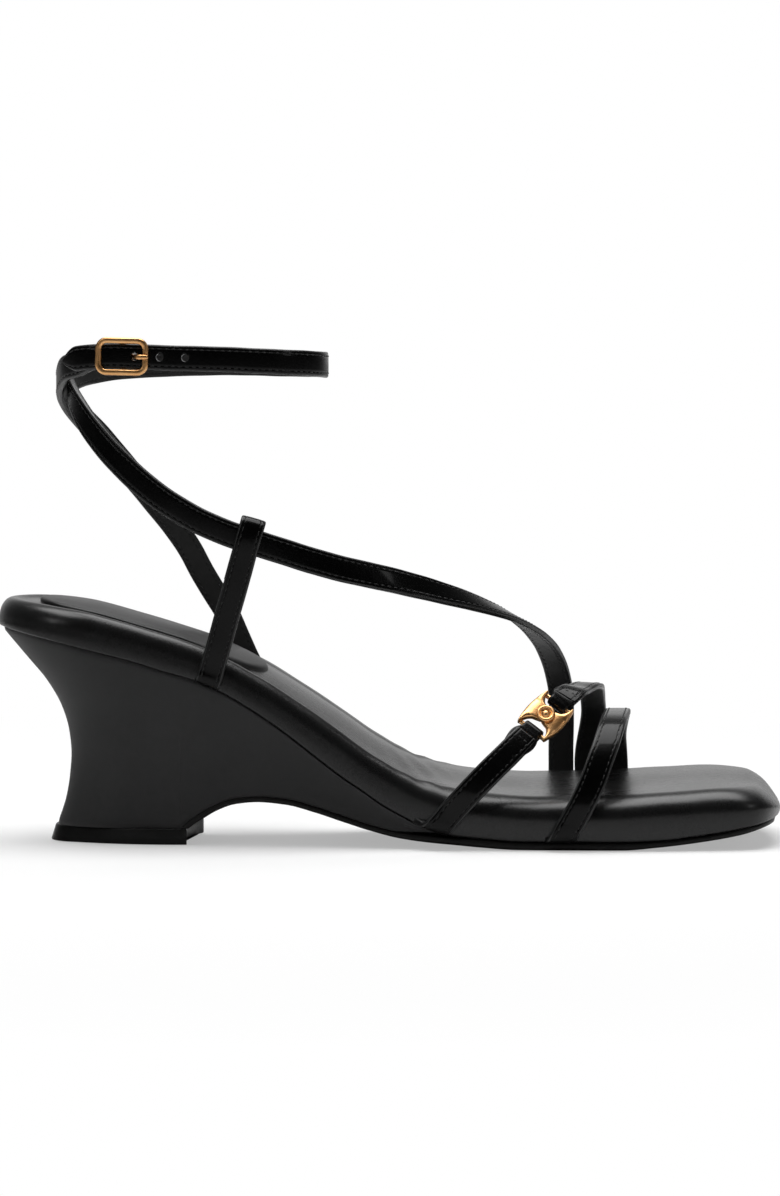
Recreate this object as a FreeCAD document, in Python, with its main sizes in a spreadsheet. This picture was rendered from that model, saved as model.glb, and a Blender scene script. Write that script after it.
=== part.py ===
import FreeCAD, Part
import Sketcher
import math
import os

# Wedge sandal, right foot, every piece a separate solid.
# Millimetres. +X runs to the toe, +Y to the inner side of the foot, +Z up.
# The origin is on the floor, on the underside of the heel top piece.

Vector = FreeCAD.Vector
UP = Vector(0, 0, 1)
doc = FreeCAD.newDocument("WedgeSandal")

# ---------------------------------------------------------------- driving sizes
SIZES = [
    ("OuterLeather", 0.9),       # strap outer layer
    ("LiningLeather", 0.9),      # strap lining layer
    ("GlueGap", 0.05),           # half the glue line between the two layers
    ("SlotClear", 0.2),          # room round a strap where it enters the sole
    ("CoverThick", 1.2),         # footbed leather
    ("BoardThick", 2.2),         # insole board
    ("WedgeCoverThick", 1.0),    # leather on the wedge
    ("PieceGap", 0.05),          # glue line between sole pieces
    ("SockThick", 1.8),
    ("TopPieceThick", 4.7),
    ("PinDiameter", 2.4),
    ("PinLength", 12.0),
    ("PinBase", 1.5),            # height of the pins' lower ends
    ("ScrewDiameter", 2.4),
    ("ScrewLength", 24.0),
    ("ScrewHead", 5.0),          # head diameter
    ("ScrewHeadHeight", 1.4),
    ("ShankWidth", 11.0),
    ("ShankThick", 1.2),
    ("RivetDiameter", 3.0),
    ("RivetLength", 4.2),
    ("FrameLong", 15.6),         # buckle, along the strap
    ("FrameWide", 11.0),         # buckle, across the strap
    ("FrameWire", 1.5),
    ("FrameRise", 4.6),          # bar centre to frame centre
    ("BarDiameter", 1.5),
    ("BarClear", 0.02),
    ("ProngWide", 1.5),
    ("HoleDiameter", 2.4),
    ("HolePitch", 7.5),
    ("LinkLong", 13.8),
    ("LinkEnd", 10.6),
    ("LinkWaist", 12.2),         # width at the middle of the link
    ("LinkThick", 1.8),
    ("LinkBite", 4.3),           # radius of the open end of the link
    ("LinkBar", 1.4),            # bar diameter
    ("LinkBarLength", 9.8),
    ("LinkBarAt", 6.0),          # bar centre from the middle of the link
    ("BossRadius", 2.8),
    ("BossHeight", 1.5),
]
sheet = doc.addObject("Spreadsheet::Sheet", "Sizes")
for row, (alias, value) in enumerate(SIZES, start=1):
    sheet.set("A%d" % row, alias)
    sheet.set("B%d" % row, str(value))
    sheet.setAlias("B%d" % row, alias)
doc.recompute()


def size(alias):
    return float(sheet.get(alias))


GAP = size("PieceGap")
GLUE = size("GlueGap")
OUTER = size("OuterLeather")
LINING = size("LiningLeather")
COVER = size("CoverThick")
BOARD = size("BoardThick")
TOP_PIECE = size("TopPieceThick")
SHANK_THICK = size("ShankThick")
PIN_FIT = 0.03                   # radial room round pins and screws

# ---------------------------------------------------------------- strap sections
# Each row is one cross-section of a strap: the two edge points of its middle
# plane (x, y, z, x, y, z) and the outward normal there (x, y, z).
TOE_STRAP = [
    (131.73, -30.7, 3.45, 122.8, -30.7, 3.45, 0, 0, -1),
    (134.23, -35.2, 3.45, 125.3, -35.2, 3.45, 0, 0, -1),
    (135.9, -38.2, 3.45, 126.96, -38.2, 3.45, 0, 0, -1),
    (136.28, -38.85, 3.62, 127.34, -38.85, 3.62, 0, -0.5, -0.866),
    (136.66, -39.33, 4.1, 127.72, -39.33, 4.1, 0, -0.866, -0.5),
    (137.03, -39.5, 4.75, 128.1, -39.5, 4.75, 0, -1, 0),
    (137.9, -39.5, 6.3, 131.08, -39.5, 10.09, -0.002, -1, -0.004),
    (141.59, -39.75, 12.97, 134.63, -39.32, 16.47, -0.016, -0.996, 0.092),
    (144.81, -38.8, 20.01, 137.59, -37.97, 22.84, 0.001, -0.959, 0.284),
    (147.43, -36.21, 26.83, 140.02, -35.03, 28.96, 0.016, -0.85, 0.526),
    (149.6, -31.6, 32.66, 142.05, -30.23, 34.08, 0.029, -0.634, 0.772),
    (151.26, -25.17, 36.48, 143.59, -23.94, 37.21, 0.037, -0.335, 0.941),
    (152.34, -17.68, 37.99, 144.6, -16.79, 38.29, 0.026, -0.107, 0.994),
    (153.08, -10.04, 38.35, 145.31, -9.39, 38.45, 0.012, -0.008, 1),
    (153.62, -2.54, 38.24, 145.83, -2.05, 38.25, 0.004, 0.043, 0.999),
    (154.02, 4.94, 37.78, 146.22, 5.3, 37.73, -0.001, 0.088, 0.996),
    (154.31, 12.42, 36.97, 146.52, 12.67, 36.9, -0.004, 0.137, 0.991),
    (154.52, 19.88, 35.73, 146.72, 19.98, 35.68, -0.003, 0.219, 0.976),
    (154.53, 27.16, 33.63, 146.73, 27.07, 33.7, 0.004, 0.362, 0.932),
    (154.3, 33.82, 30.29, 146.5, 33.8, 30.32, 0.002, 0.567, 0.824),
    (154.45, 39.3, 25.4, 146.66, 39.42, 25.06, -0.013, 0.808, 0.59),
    (154.96, 42.41, 18.64, 147.16, 42.44, 18.4, -0.002, 0.978, 0.209),
    (154.9, 42.4, 10.97, 147.1, 42.4, 11.03, 0, 1, -0.003),
    (154.85, 42.4, 4.9, 147.05, 42.4, 4.75, 0, 1, 0),
    (154.85, 42.23, 4.25, 147.04, 42.23, 4.1, 0, 0.866, -0.5),
    (154.84, 41.75, 3.77, 147.04, 41.75, 3.62, 0, 0.5, -0.866),
    (154.84, 41.1, 3.6, 147.03, 41.1, 3.45, 0, 0, -1),
    (154.81, 38.1, 3.59, 147.01, 38.1, 3.45, 0, 0, -1),
    (154.78, 33.6, 3.59, 146.97, 33.6, 3.45, 0, 0, -1),
]

INSTEP_STRAP = [
    (129.83, 33.6, 3.45, 137.63, 33.6, 3.45, 0, 0, -1),
    (129.9, 38.1, 3.45, 137.7, 38.1, 3.45, 0, 0, -1),
    (129.95, 41.1, 3.45, 137.75, 41.1, 3.45, 0, 0, -1),
    (129.96, 41.75, 3.62, 137.76, 41.75, 3.62, 0, 0.5, -0.866),
    (129.97, 42.23, 4.1, 137.77, 42.23, 4.1, 0, 0.866, -0.5),
    (129.98, 42.4, 4.75, 137.78, 42.4, 4.75, 0, 1, 0),
    (130.1, 42.4, 12.06, 137.9, 42.4, 11.94, 0, 1, -0.021),
    (130.21, 42.6, 18.98, 138.01, 42.5, 18.86, 0.013, 1, -0.024),
    (130.33, 42.87, 25.89, 138.12, 42.59, 25.79, 0.036, 0.999, 0.016),
    (130.39, 42.6, 32.74, 138.17, 42.02, 32.78, 0.073, 0.986, 0.152),
    (130.15, 41.19, 39.31, 137.86, 40.09, 39.65, 0.117, 0.928, 0.354),
    (129.25, 38.5, 45.37, 136.81, 36.64, 45.87, 0.163, 0.813, 0.558),
    (127.79, 34.62, 50.77, 135.14, 32.03, 50.98, 0.21, 0.657, 0.724),
    (125.9, 29.78, 55.32, 133.04, 26.67, 54.97, 0.255, 0.491, 0.833),
    (123.71, 24.34, 59, 130.64, 20.89, 58, 0.302, 0.349, 0.887),
    (121.33, 18.64, 62.08, 127.99, 14.92, 60.47, 0.355, 0.244, 0.903),
    (118.76, 12.95, 64.83, 125.06, 8.9, 62.64, 0.412, 0.158, 0.897),
    (115.94, 7.38, 67.38, 121.71, 2.91, 64.63, 0.471, 0.066, 0.88),
    (112.76, 2.09, 69.84, 117.74, -2.87, 66.48, 0.522, -0.051, 0.851),
    (109.04, -2.81, 72.17, 113, -8.17, 68.14, 0.554, -0.199, 0.809),
    (104.71, -7.3, 74.4, 107.56, -12.78, 69.65, 0.563, -0.354, 0.746),
    (99.89, -11.39, 76.57, 101.64, -16.68, 71.12, 0.553, -0.502, 0.665),
    (94.66, -15.04, 78.7, 95.39, -19.88, 72.63, 0.52, -0.636, 0.57),
    (89.02, -18.27, 80.77, 89, -22.46, 74.19, 0.469, -0.746, 0.473),
    (83.03, -21.21, 82.67, 82.57, -24.64, 75.68, 0.418, -0.826, 0.379),
    (76.86, -23.89, 84.33, 76.03, -26.6, 77.07, 0.367, -0.885, 0.288),
    (70.67, -26.21, 85.95, 69.33, -28.25, 78.54, 0.305, -0.931, 0.202),
    (64.4, -28.05, 87.73, 62.58, -29.51, 80.29, 0.235, -0.963, 0.13),
    (58.01, -29.44, 89.7, 55.87, -30.4, 82.26, 0.171, -0.982, 0.076),
    (51.54, -30.47, 91.76, 49.22, -31.02, 84.33, 0.115, -0.993, 0.037),
    (45.04, -31.17, 93.88, 42.6, -31.41, 86.47, 0.065, -0.998, 0.011),
    (38.55, -31.56, 96.07, 35.96, -31.56, 88.71, 0.017, -1, -0.006),
    (32.18, -31.63, 98.39, 29.3, -31.44, 91.15, -0.034, -0.999, -0.013),
    (26.08, -31.38, 101.03, 22.72, -31, 94, -0.09, -0.996, -0.011),
    (20.27, -30.77, 104.14, 16.37, -30.18, 97.41, -0.149, -0.989, -0.001),
    (14.77, -29.86, 107.72, 10.4, -28.98, 101.33, -0.209, -0.978, 0.009),
    (9.57, -28.65, 111.75, 4.88, -27.41, 105.64, -0.28, -0.96, 0.02),
    (4.63, -27.07, 116.09, -0.16, -25.35, 110.18, -0.372, -0.928, 0.031),
    (-0.06, -25.04, 120.6, -4.75, -22.69, 114.83, -0.485, -0.874, 0.038),
    (-4.39, -22.47, 125.3, -8.72, -19.39, 119.59, -0.621, -0.783, 0.047),
    (-8.35, -19.04, 130.11, -11.79, -15.4, 124.13, -0.773, -0.631, 0.061),
    (-11.75, -14.26, 134.52, -13.9, -10.54, 128, -0.9, -0.433, 0.05),
    (-14.3, -8.26, 138.21, -15.14, -5.06, 131.15, -0.973, -0.229, 0.013),
    (-15.64, -1.34, 140.83, -15.56, 0.86, 133.35, -0.999, -0.045, -0.023),
    (-15.66, 5.85, 142.39, -15.16, 7.22, 134.73, -0.991, 0.129, -0.041),
    (-14.33, 12.76, 143.48, -13.58, 13.7, 135.77, -0.928, 0.37, -0.046),
    (-10.96, 18.84, 144.43, -9.99, 19.47, 136.72, -0.718, 0.695, -0.033),
    (-5.17, 22.7, 145.43, -4.28, 23.01, 137.68, -0.415, 0.91, -0.012),
    (1.62, 24.79, 146.12, 2.22, 24.89, 138.34, -0.217, 0.976, -0.004),
    (8.56, 25.85, 146.52, 8.94, 25.87, 138.72, -0.105, 0.994, -0.002),
    (15.53, 26.3, 146.8, 15.79, 26.3, 139.01, -0.025, 1, -0.001),
    (22.51, 26.21, 146.99, 22.66, 26.2, 139.19, 0.052, 0.999, 0),
    (29.46, 25.58, 147.06, 29.49, 25.58, 139.26, 0.131, 0.991, 0),
    (36.33, 24.39, 147.05, 36.29, 24.4, 139.25, 0.218, 0.976, 0),
    (43.08, 22.54, 146.99, 43.01, 22.56, 139.19, 0.342, 0.94, 0),
    (49.36, 19.65, 146.92, 49.32, 19.67, 139.12, 0.531, 0.847, 0),
    (54.69, 15.25, 146.9, 54.7, 15.24, 139.1, 0.74, 0.672, 0),
    (58.56, 9.52, 146.94, 58.6, 9.46, 139.14, 0.899, 0.437, 0.001),
    (60.69, 2.95, 147.03, 60.71, 2.84, 139.23, 0.979, 0.204, 0.001),
    (61.39, -3.94, 147.13, 61.39, -4.06, 139.33, 0.995, 0.1, -0.002),
]

STRAP_TAIL = [
    (61.4, -4.24, 146.99, 61.4, -4.46, 139.49, 0.998, -0.057, 0.002),
    (61.11, -9.87, 147.15, 61.04, -10.13, 139.65, 0.988, -0.152, -0.003),
    (59.79, -15.29, 147.4, 59.59, -15.64, 139.91, 0.928, -0.372, -0.007),
    (57.07, -20.25, 147.73, 56.74, -20.57, 140.25, 0.798, -0.603, -0.008),
    (53.11, -24.33, 148.08, 52.73, -24.56, 140.59, 0.618, -0.786, -0.007),
    (48.27, -27.28, 148.4, 47.9, -27.42, 140.91, 0.425, -0.905, -0.004),
    (42.91, -29.18, 148.67, 42.58, -29.26, 141.18, 0.272, -0.962, -0.003),
    (37.35, -30.42, 148.92, 37.04, -30.46, 141.42, 0.179, -0.984, -0.002),
    (31.74, -31.24, 149.14, 31.46, -31.26, 141.65, 0.115, -0.993, -0.002),
    (26.12, -31.73, 149.35, 25.85, -31.74, 141.85, 0.06, -0.998, -0.001),
    (20.46, -31.93, 149.54, 20.22, -31.93, 142.05, 0.015, -1, -0.001),
    (14.8, -31.91, 149.71, 14.59, -31.9, 142.22, -0.022, -1, 0),
    (9.16, -31.7, 149.86, 8.94, -31.68, 142.36, -0.065, -0.998, 0),
    (3.51, -31.19, 150.04, 3.34, -31.16, 142.54, -0.091, -0.996, -0.001),
    (-2.24, -30.65, 150.13, -2.15, -30.67, 142.63, -0.151, -0.988, 0.001),
    (-8, -29.36, 149.88, -7.46, -29.58, 142.4, -0.381, -0.925, -0.001),
    (-12.81, -26.19, 149.24, -12.03, -26.7, 141.8, -0.676, -0.737, -0.02),
    (-16.17, -21.64, 148.5, -15.49, -22.36, 141.06, -0.793, -0.609, -0.014),
]

BUCKLE_STRAP = [
    (41.25, 15.2, 41.06, 53.77, 15.2, 31.98, 0, 0, -1),
    (39.02, 19.7, 42.59, 51.54, 19.7, 33.72, 0, 0, -1),
    (37.53, 22.7, 43.46, 50.06, 22.7, 34.88, 0, 0, -1),
    (37.2, 23.35, 43.83, 49.72, 23.35, 35.32, 0, 0.5, -0.866),
    (36.86, 23.83, 44.51, 49.38, 23.83, 36.06, 0, 0.866, -0.5),
    (36.52, 24, 45.35, 49.05, 24, 36.97, 0, 1, 0),
    (35.54, 24, 47.34, 42.26, 24, 50.66, -0.004, 1, 0.008),
    (32.51, 23.94, 53.45, 39.3, 23.94, 56.63, 0.009, 1, -0.019),
    (29.78, 24.28, 59.63, 36.59, 24.28, 62.78, 0.031, 0.997, -0.068),
    (26.98, 24.94, 65.44, 33.56, 24.95, 69.04, 0.047, 0.995, -0.087),
    (23.54, 25.6, 71.01, 29.96, 25.63, 74.89, 0.046, 0.995, -0.084),
    (20.06, 26.19, 76.88, 26.59, 26.28, 80.57, 0.029, 0.997, -0.077),
    (16.9, 26.62, 82.74, 23.36, 26.82, 86.55, 0.005, 0.998, -0.062),
    (13.41, 26.82, 88.15, 19.55, 27.17, 92.44, -0.026, 0.999, -0.044),
    (9.44, 26.73, 93.38, 15.35, 27.28, 97.97, -0.07, 0.997, -0.029),
    (5.32, 26.3, 98.6, 11.09, 27.14, 103.31, -0.127, 0.992, -0.019),
    (1.15, 25.52, 103.77, 6.8, 26.73, 108.56, -0.199, 0.98, -0.014),
    (-2.99, 24.29, 108.9, 2.46, 26, 113.76, -0.297, 0.955, -0.003),
    (-6.92, 22.41, 113.95, -1.81, 24.73, 118.93, -0.424, 0.905, 0.014),
    (-10.5, 19.78, 118.74, -6.08, 22.67, 124.06, -0.562, 0.827, 0.018),
    (-13.91, 16.4, 123.05, -10.46, 19.69, 128.84, -0.703, 0.711, 0.014),
    (-16.76, 12.1, 126.85, -14.41, 15.57, 133.06, -0.853, 0.52, 0.033),
    (-18.38, 6.81, 130.1, -17.13, 10.08, 136.73, -0.959, 0.281, 0.041),
    (-18.86, 0.92, 132.73, -18.52, 3.73, 139.67, -0.997, 0.072, 0.021),
    (-18.37, -5.28, 134.97, -18.71, -2.74, 142.02, -0.995, -0.103, -0.011),
    (-16.95, -11.34, 137.23, -17.92, -9.14, 144.34, -0.962, -0.271, -0.048),
    (-14.66, -17.08, 139.14, -15.88, -15.69, 146.41, -0.878, -0.474, -0.057),
    (-10.67, -22.18, 140.35, -12.24, -21.2, 147.62, -0.788, -0.61, -0.088),
    (-6.7, -27.2, 142.22, -8.17, -26.74, 149.56, -0.564, -0.823, -0.062),
    (-1.14, -28.74, 142.68, -1.79, -28.69, 150.15, -0.279, -0.96, -0.017),
]

SIDE_STAY = [
    (27.69, -22.55, 48.81, 20.76, -22.55, 51.53, 0, 0, -1),
    (29.04, -27.05, 48.23, 22.11, -27.05, 51.15, 0, 0, -1),
    (29.94, -30.05, 47.85, 23.01, -30.05, 50.8, 0, 0, -1),
    (30.15, -30.7, 47.94, 23.21, -30.7, 50.89, 0, -0.5, -0.866),
    (30.35, -31.18, 48.32, 23.42, -31.18, 51.27, 0, -0.866, -0.5),
    (30.56, -31.35, 48.85, 23.62, -31.35, 51.84, 0, -1, 0),
    (31.02, -31.35, 50.41, 23.84, -31.35, 52.57, -0.015, -0.999, -0.05),
    (33.14, -31.74, 57.48, 25.93, -31.74, 59.55, -0.016, -0.998, -0.056),
    (35.09, -32.21, 64.58, 27.86, -32.21, 66.57, -0.018, -0.998, -0.068),
    (37.04, -32.76, 71.6, 29.83, -32.77, 73.66, -0.02, -0.997, -0.074),
    (39.11, -33.32, 78.63, 31.9, -33.35, 80.67, -0.015, -0.998, -0.067),
    (41.05, -33.73, 85.73, 33.81, -33.8, 87.71, 0, -0.999, -0.036),
    (43.41, -33.77, 94.27, 36.19, -33.89, 96.31, 0.017, -1, 0),
    (43.72, -33.45, 95.4, 36.51, -33.57, 97.44, 0.151, -0.864, 0.481),
    (43.94, -32.58, 96.22, 36.73, -32.7, 98.27, 0.244, -0.496, 0.833),
    (44.01, -31.41, 96.53, 36.79, -31.53, 98.57, 0.272, 0.005, 0.962),
    (43.9, -30.23, 96.22, 36.69, -30.35, 98.27, 0.227, 0.504, 0.833),
    (43.66, -29.38, 95.4, 36.44, -29.5, 97.44, 0.121, 0.868, 0.481),
    (43.33, -29.07, 94.27, 36.11, -29.19, 96.31, -0.017, 1, 0),
    (41.1, -29.1, 86.38, 33.88, -29.23, 88.42, -0.017, 1, 0),
    (40.52, -30.11, 84.26, 33.3, -30.24, 86.3, -0.017, 1, 0),
    (39.99, -31.32, 82.33, 32.78, -31.45, 84.37, -0.017, 1, 0),
    (38.88, -31.69, 78.39, 31.67, -31.81, 80.43, -0.017, 1, 0),
]

VAMP_LOWER = [
    (91.42, -27.4, 7.26, 83.05, -27.4, 11.38, 0, 0, -1),
    (95.41, -31.9, 5.76, 87.03, -31.9, 9.28, 0, 0, -1),
    (98.06, -34.9, 5.26, 89.69, -34.9, 7.93, 0, 0, -1),
    (98.66, -35.55, 5.32, 90.29, -35.55, 7.87, 0, -0.5, -0.866),
    (99.27, -36.03, 5.68, 90.89, -36.03, 8.11, 0, -0.866, -0.5),
    (99.87, -36.2, 6.21, 91.5, -36.2, 8.53, 0, -1, 0),
    (100.73, -36.2, 7.19, 94.89, -36.2, 12.36, -0.082, -0.992, -0.092),
    (104.55, -37.06, 11.51, 98.76, -36.78, 16.73, -0.083, -0.996, -0.039),
    (108.44, -37.51, 15.81, 102.76, -36.88, 21.12, -0.042, -0.996, 0.073),
    (112.43, -37.19, 19.98, 106.84, -36.07, 25.31, 0.013, -0.976, 0.218),
    (116.52, -36.14, 24.01, 110.96, -34.39, 29.19, 0.019, -0.941, 0.337),
    (120.69, -34.85, 28.07, 115.02, -32.47, 32.87, 0.013, -0.89, 0.456),
    (124.67, -32.77, 31.94, 118.88, -29.84, 36.27, -0.01, -0.834, 0.551),
]

VAMP_UPPER = [
    (135.76, -25.23, 42.27, 129.62, -22.64, 46.14, 0.284, -0.525, 0.802),
    (139.17, -20.82, 44.93, 132.34, -18.07, 47.2, 0.208, -0.262, 0.942),
    (141.3, -14.3, 45.58, 134.04, -11.96, 46.64, 0.119, -0.077, 0.99),
    (143.47, -8.27, 46.3, 136.08, -6.16, 46.75, 0.059, -0.008, 0.998),
    (144.95, -1.58, 45.97, 137.36, -0.3, 46.04, 0.024, 0.088, 0.996),
    (145.72, 4.99, 45.39, 138.06, 5.75, 45.33, 0.004, 0.112, 0.994),
    (146.25, 11.38, 44.64, 138.58, 11.98, 44.51, -0.004, 0.15, 0.989),
    (146.74, 17.72, 43.54, 139.06, 18.2, 43.36, -0.009, 0.221, 0.975),
    (147.1, 23.94, 41.87, 139.41, 24.28, 41.65, -0.012, 0.333, 0.943),
    (147.4, 29.84, 39.36, 139.71, 30.11, 39.07, -0.015, 0.488, 0.873),
    (147.73, 35.26, 35.57, 140.03, 35.31, 35.49, -0.004, 0.674, 0.739),
    (147.53, 39.48, 30.3, 139.86, 39.27, 30.98, 0.021, 0.861, 0.508),
    (146.57, 41.76, 24.29, 138.92, 41.63, 25.17, 0.011, 0.969, 0.245),
    (146.07, 42.49, 18.3, 138.37, 42.48, 18.51, 0, 0.998, 0.055),
    (146.25, 42.4, 12.11, 138.55, 42.4, 11.89, 0, 1, -0.014),
    (146.46, 42.4, 4.75, 138.74, 42.4, 4.75, 0, 1, 0),
    (146.48, 42.23, 4.1, 138.76, 42.23, 4.1, 0, 0.866, -0.5),
    (146.5, 41.75, 3.62, 138.78, 41.75, 3.62, 0, 0.5, -0.866),
    (146.51, 41.1, 3.45, 138.8, 41.1, 3.45, 0, 0, -1),
    (146.6, 38.1, 3.45, 138.88, 38.1, 3.45, 0, 0, -1),
    (146.72, 33.6, 3.45, 139.01, 33.6, 3.45, 0, 0, -1),
]

# ---------------------------------------------------------------- lines of the sole
# (x, z) of the seam between footbed and wedge
SEAM = [
    (-45, 65.9), (-35.5, 64.9), (-30.2, 63.9), (-18.3, 61.2), (-6.6, 58.1), (4.8, 55.2),
    (13.4, 52.5), (22.3, 50.0), (30.3, 46.6), (39, 41.5), (48.5, 35.0), (58.6, 27.1),
    (67.4, 20.4), (72.6, 17.0), (78.2, 13.0), (83.9, 9.8), (89.5, 6.9), (95.2, 4.7),
    (101, 3.6), (107.6, 3.05), (119, 2.35), (131, 2.35), (150, 2.35), (160, 2.65),
    (172.9, 4.05), (185.5, 6.1), (194, 7.8), (205, 10.2),
]
# (x, z) of the top of the footbed
TOP = [
    (-45, 73.9), (-37, 73.4), (-26, 73.0), (-12, 71.2), (5, 66.8), (25, 60.4), (40, 52.9),
    (54, 44.2), (65, 36.4), (77, 27.6), (90, 20.8), (107, 16.8), (125, 15.6), (143, 15.8),
    (165, 17.0), (182, 17.9), (190, 17.4), (194.5, 15.6), (197.5, 13.0), (199.5, 10.4),
    (205, 10.3),
]
# (x, z) of the outsole: upper face heel to toe, then lower face toe to heel
SOLE_TOP = [
    (20.8, 4.8), (22.3, 8.0), (24.6, 10.9), (29.7, 13.4), (35.3, 14.9), (41.2, 15.2),
    (49.6, 14.4), (58.3, 11.8), (66.8, 9.1), (75.2, 6.4), (83.9, 4.9), (92.4, 3.8),
    (101, 3.3), (107.6, 3.0), (119, 2.3), (131, 2.3), (150, 2.3), (160, 2.6),
    (172.9, 4.0), (185.5, 6.05), (194, 7.75), (205, 10.15),
]
SOLE_LOW = [
    (205, 8.3), (194, 6.2), (185.5, 4.2), (172.9, 2.2), (161, 0.9), (151, 0.0), (118, 0.0),
    (107.6, 0.9), (92.4, 2.0), (83.9, 3.1), (75.2, 4.9), (66.8, 7.3), (58.3, 10.0),
    (49.6, 12.5), (41.2, 13.4), (35.3, 13.2), (29.9, 11.6), (26.4, 9.2), (24.4, 6.8),
    (23.4, 4.8),
]
# (x, outer y, inner y) of the footbed, before its ends are rounded
PLAN = [
    (-40, -29.0, 23.0), (-10, -29.0, 23.0), (0, -29.3, 23.0), (20, -30.0, 22.0),
    (40, -30.0, 20.0), (60, -30.5, 19.0), (80, -32.0, 22.0), (100, -34.5, 29.0),
    (115, -36.4, 35.0), (130, -37.9, 39.2), (145, -38.5, 41.0), (160, -38.0, 40.4),
    (175, -36.5, 38.4), (190, -34.6, 35.6), (200, -33.4, 33.6),
]
# the same at the foot of the wedge and of the arch
FOOT = [
    (-24, -17.5, 8.5), (-15, -18.5, 9.0), (-5, -19.5, 10.0), (5, -20.5, 10.5),
    (20, -22.0, 11.0), (35, -22.0, 10.5), (50, -23.0, 10.5), (65, -25.0, 12.5),
    (80, -28.5, 17.0), (95, -32.0, 24.0), (110, -35.2, 31.5),
]
# (z, x) of the back of the wedge
WEDGE_BACK = [
    (0.0, -21.4), (4.9, -19.6), (12.8, -17.0), (19.2, -15.9), (26.2, -15.4), (33.2, -16.1),
    (40.0, -18.1), (48.2, -22.7), (55.2, -28.5), (61.3, -33.6), (64.2, -35.9), (67.4, -36.8),
    (75, -37.0),
]
WEDGE_LEVELS = (3.0, 9.0, 16.0, 24.0, 32.0, 40.0, 48.0, 56.0, 63.0, 70.0)
# (x, y) of the outsole in plan: outer side to the toe, then inner side back to the arch
OUTSOLE_PLAN = [
    (20.0, -22.0), (35.0, -22.0), (50.0, -23.0), (65.0, -25.0), (80.0, -28.5),
    (95.0, -32.3), (107.0, -34.8), (120.0, -36.4), (133.0, -37.5), (145.0, -37.8),
    (160.0, -37.2), (175.0, -35.6), (185.0, -33.6), (191.5, -29.0), (195.8, -20.0),
    (197.3, -8.0), (197.3, 12.0), (195.8, 22.0), (191.5, 30.0), (184.0, 35.6),
    (172.0, 38.4), (160.0, 39.8), (145.0, 40.2), (130.0, 38.4), (115.0, 34.0),
    (100.0, 27.5), (90.0, 21.8), (80.0, 17.0), (65.0, 12.5), (50.0, 10.6),
    (35.0, 10.4), (20.0, 11.0),
]
# (x, y) of the heel pad
SOCK_PLAN = [
    (-33.0, -3.0), (-31.0, -12.0), (-25.0, -20.0), (-14.0, -24.0), (4.0, -24.6),
    (20.0, -24.0), (32.0, -21.0), (40.0, -14.0), (43.5, -5.0), (42.0, 4.0), (36.0, 11.0),
    (26.0, 15.5), (10.0, 18.0), (-8.0, 18.5), (-20.0, 15.5), (-28.0, 9.0), (-32.0, 3.0),
]

# (x, y) of the fasteners
SHANK_Y = -4.0
RIVETS = [(8.0, SHANK_Y), (68.0, SHANK_Y)]
SCREWS = [(-13.5, -3.0), (-4.0, -14.5), (-4.0, 7.0)]
PINS = [(-12.0, -4.5), (10.0, -14.0), (13.0, 2.5)]


# ---------------------------------------------------------------- hardware frames
class Frame:
    """Local axes of a piece of hardware: along the strap, across it, outward."""

    def __init__(self, origin, along, across, outward):
        self.origin, self.along, self.across, self.outward = origin, along, across, outward

    def point(self, along, across, outward):
        return (self.origin + self.along * along + self.across * across
                + self.outward * outward)

    def placement(self):
        rows = []
        for axis in ("x", "y", "z"):
            for vector in (self.along, self.across, self.outward, self.origin):
                rows.append(getattr(vector, axis))
        return FreeCAD.Placement(FreeCAD.Matrix(*rows, 0, 0, 0, 1))


BUCKLE = Frame(
    Vector(1.7877, -30.4650, 146.3365), Vector(0.9957, -0.0899, -0.0235),
    Vector(0.0233, -0.0028, 0.9997), Vector(-0.0900, -0.9959, -0.0007))
LINK = Frame(
    Vector(127.2273, -27.5000, 39.0685), Vector(0.6576, 0.4442, 0.6085),
    Vector(-0.7531, 0.3680, 0.5454), Vector(0.0183, -0.8169, 0.5765))

OUTER_MID = GLUE + OUTER / 2     # middle of the outer layer above the glue plane
LOOP_CLEAR = 0.1                 # room between a bar and the leather round it

# A loop radius is that of the leather's middle; a bar's "out" is its centre
# along the frame's outward axis.
LINK_BAR_RADIUS = size("LinkBar") / 2
LINK_LOOP_RADIUS = LINK_BAR_RADIUS + LOOP_CLEAR + OUTER / 2
LINK_BAR_AT = size("LinkBarAt")
LINK_BAR_OUT = 0.15 + OUTER_MID - LINK_LOOP_RADIUS
BUCKLE_BAR_RADIUS = size("BarDiameter") / 2
BUCKLE_LOOP_RADIUS = BUCKLE_BAR_RADIUS + LOOP_CLEAR + OUTER / 2
BUCKLE_LOOP_OUT = -0.95          # middle of the looped leather above the bar
BUCKLE_BAR_OUT = BUCKLE_LOOP_OUT - BUCKLE_LOOP_RADIUS
FRAME_OUT = BUCKLE_BAR_OUT + size("FrameRise")


# ---------------------------------------------------------------- helpers
def unit(vector):
    result = Vector(vector)
    result.normalize()
    return result


def clamp(value):
    return max(0.0, min(1.0, value))


def value_at(x, table, column=1):
    """Straight-line interpolation in a table, held constant past its ends."""
    if x <= table[0][0]:
        return table[0][column]
    for before, after in zip(table, table[1:]):
        if x <= after[0]:
            share = (x - before[0]) / (after[0] - before[0])
            return before[column] + share * (after[column] - before[column])
    return table[-1][column]


def seam(x):
    return value_at(x, SEAM)


def top(x):
    return value_at(x, TOP)


def feature(label, shape):
    doc.addObject("Part::Feature", label).Shape = shape


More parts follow.
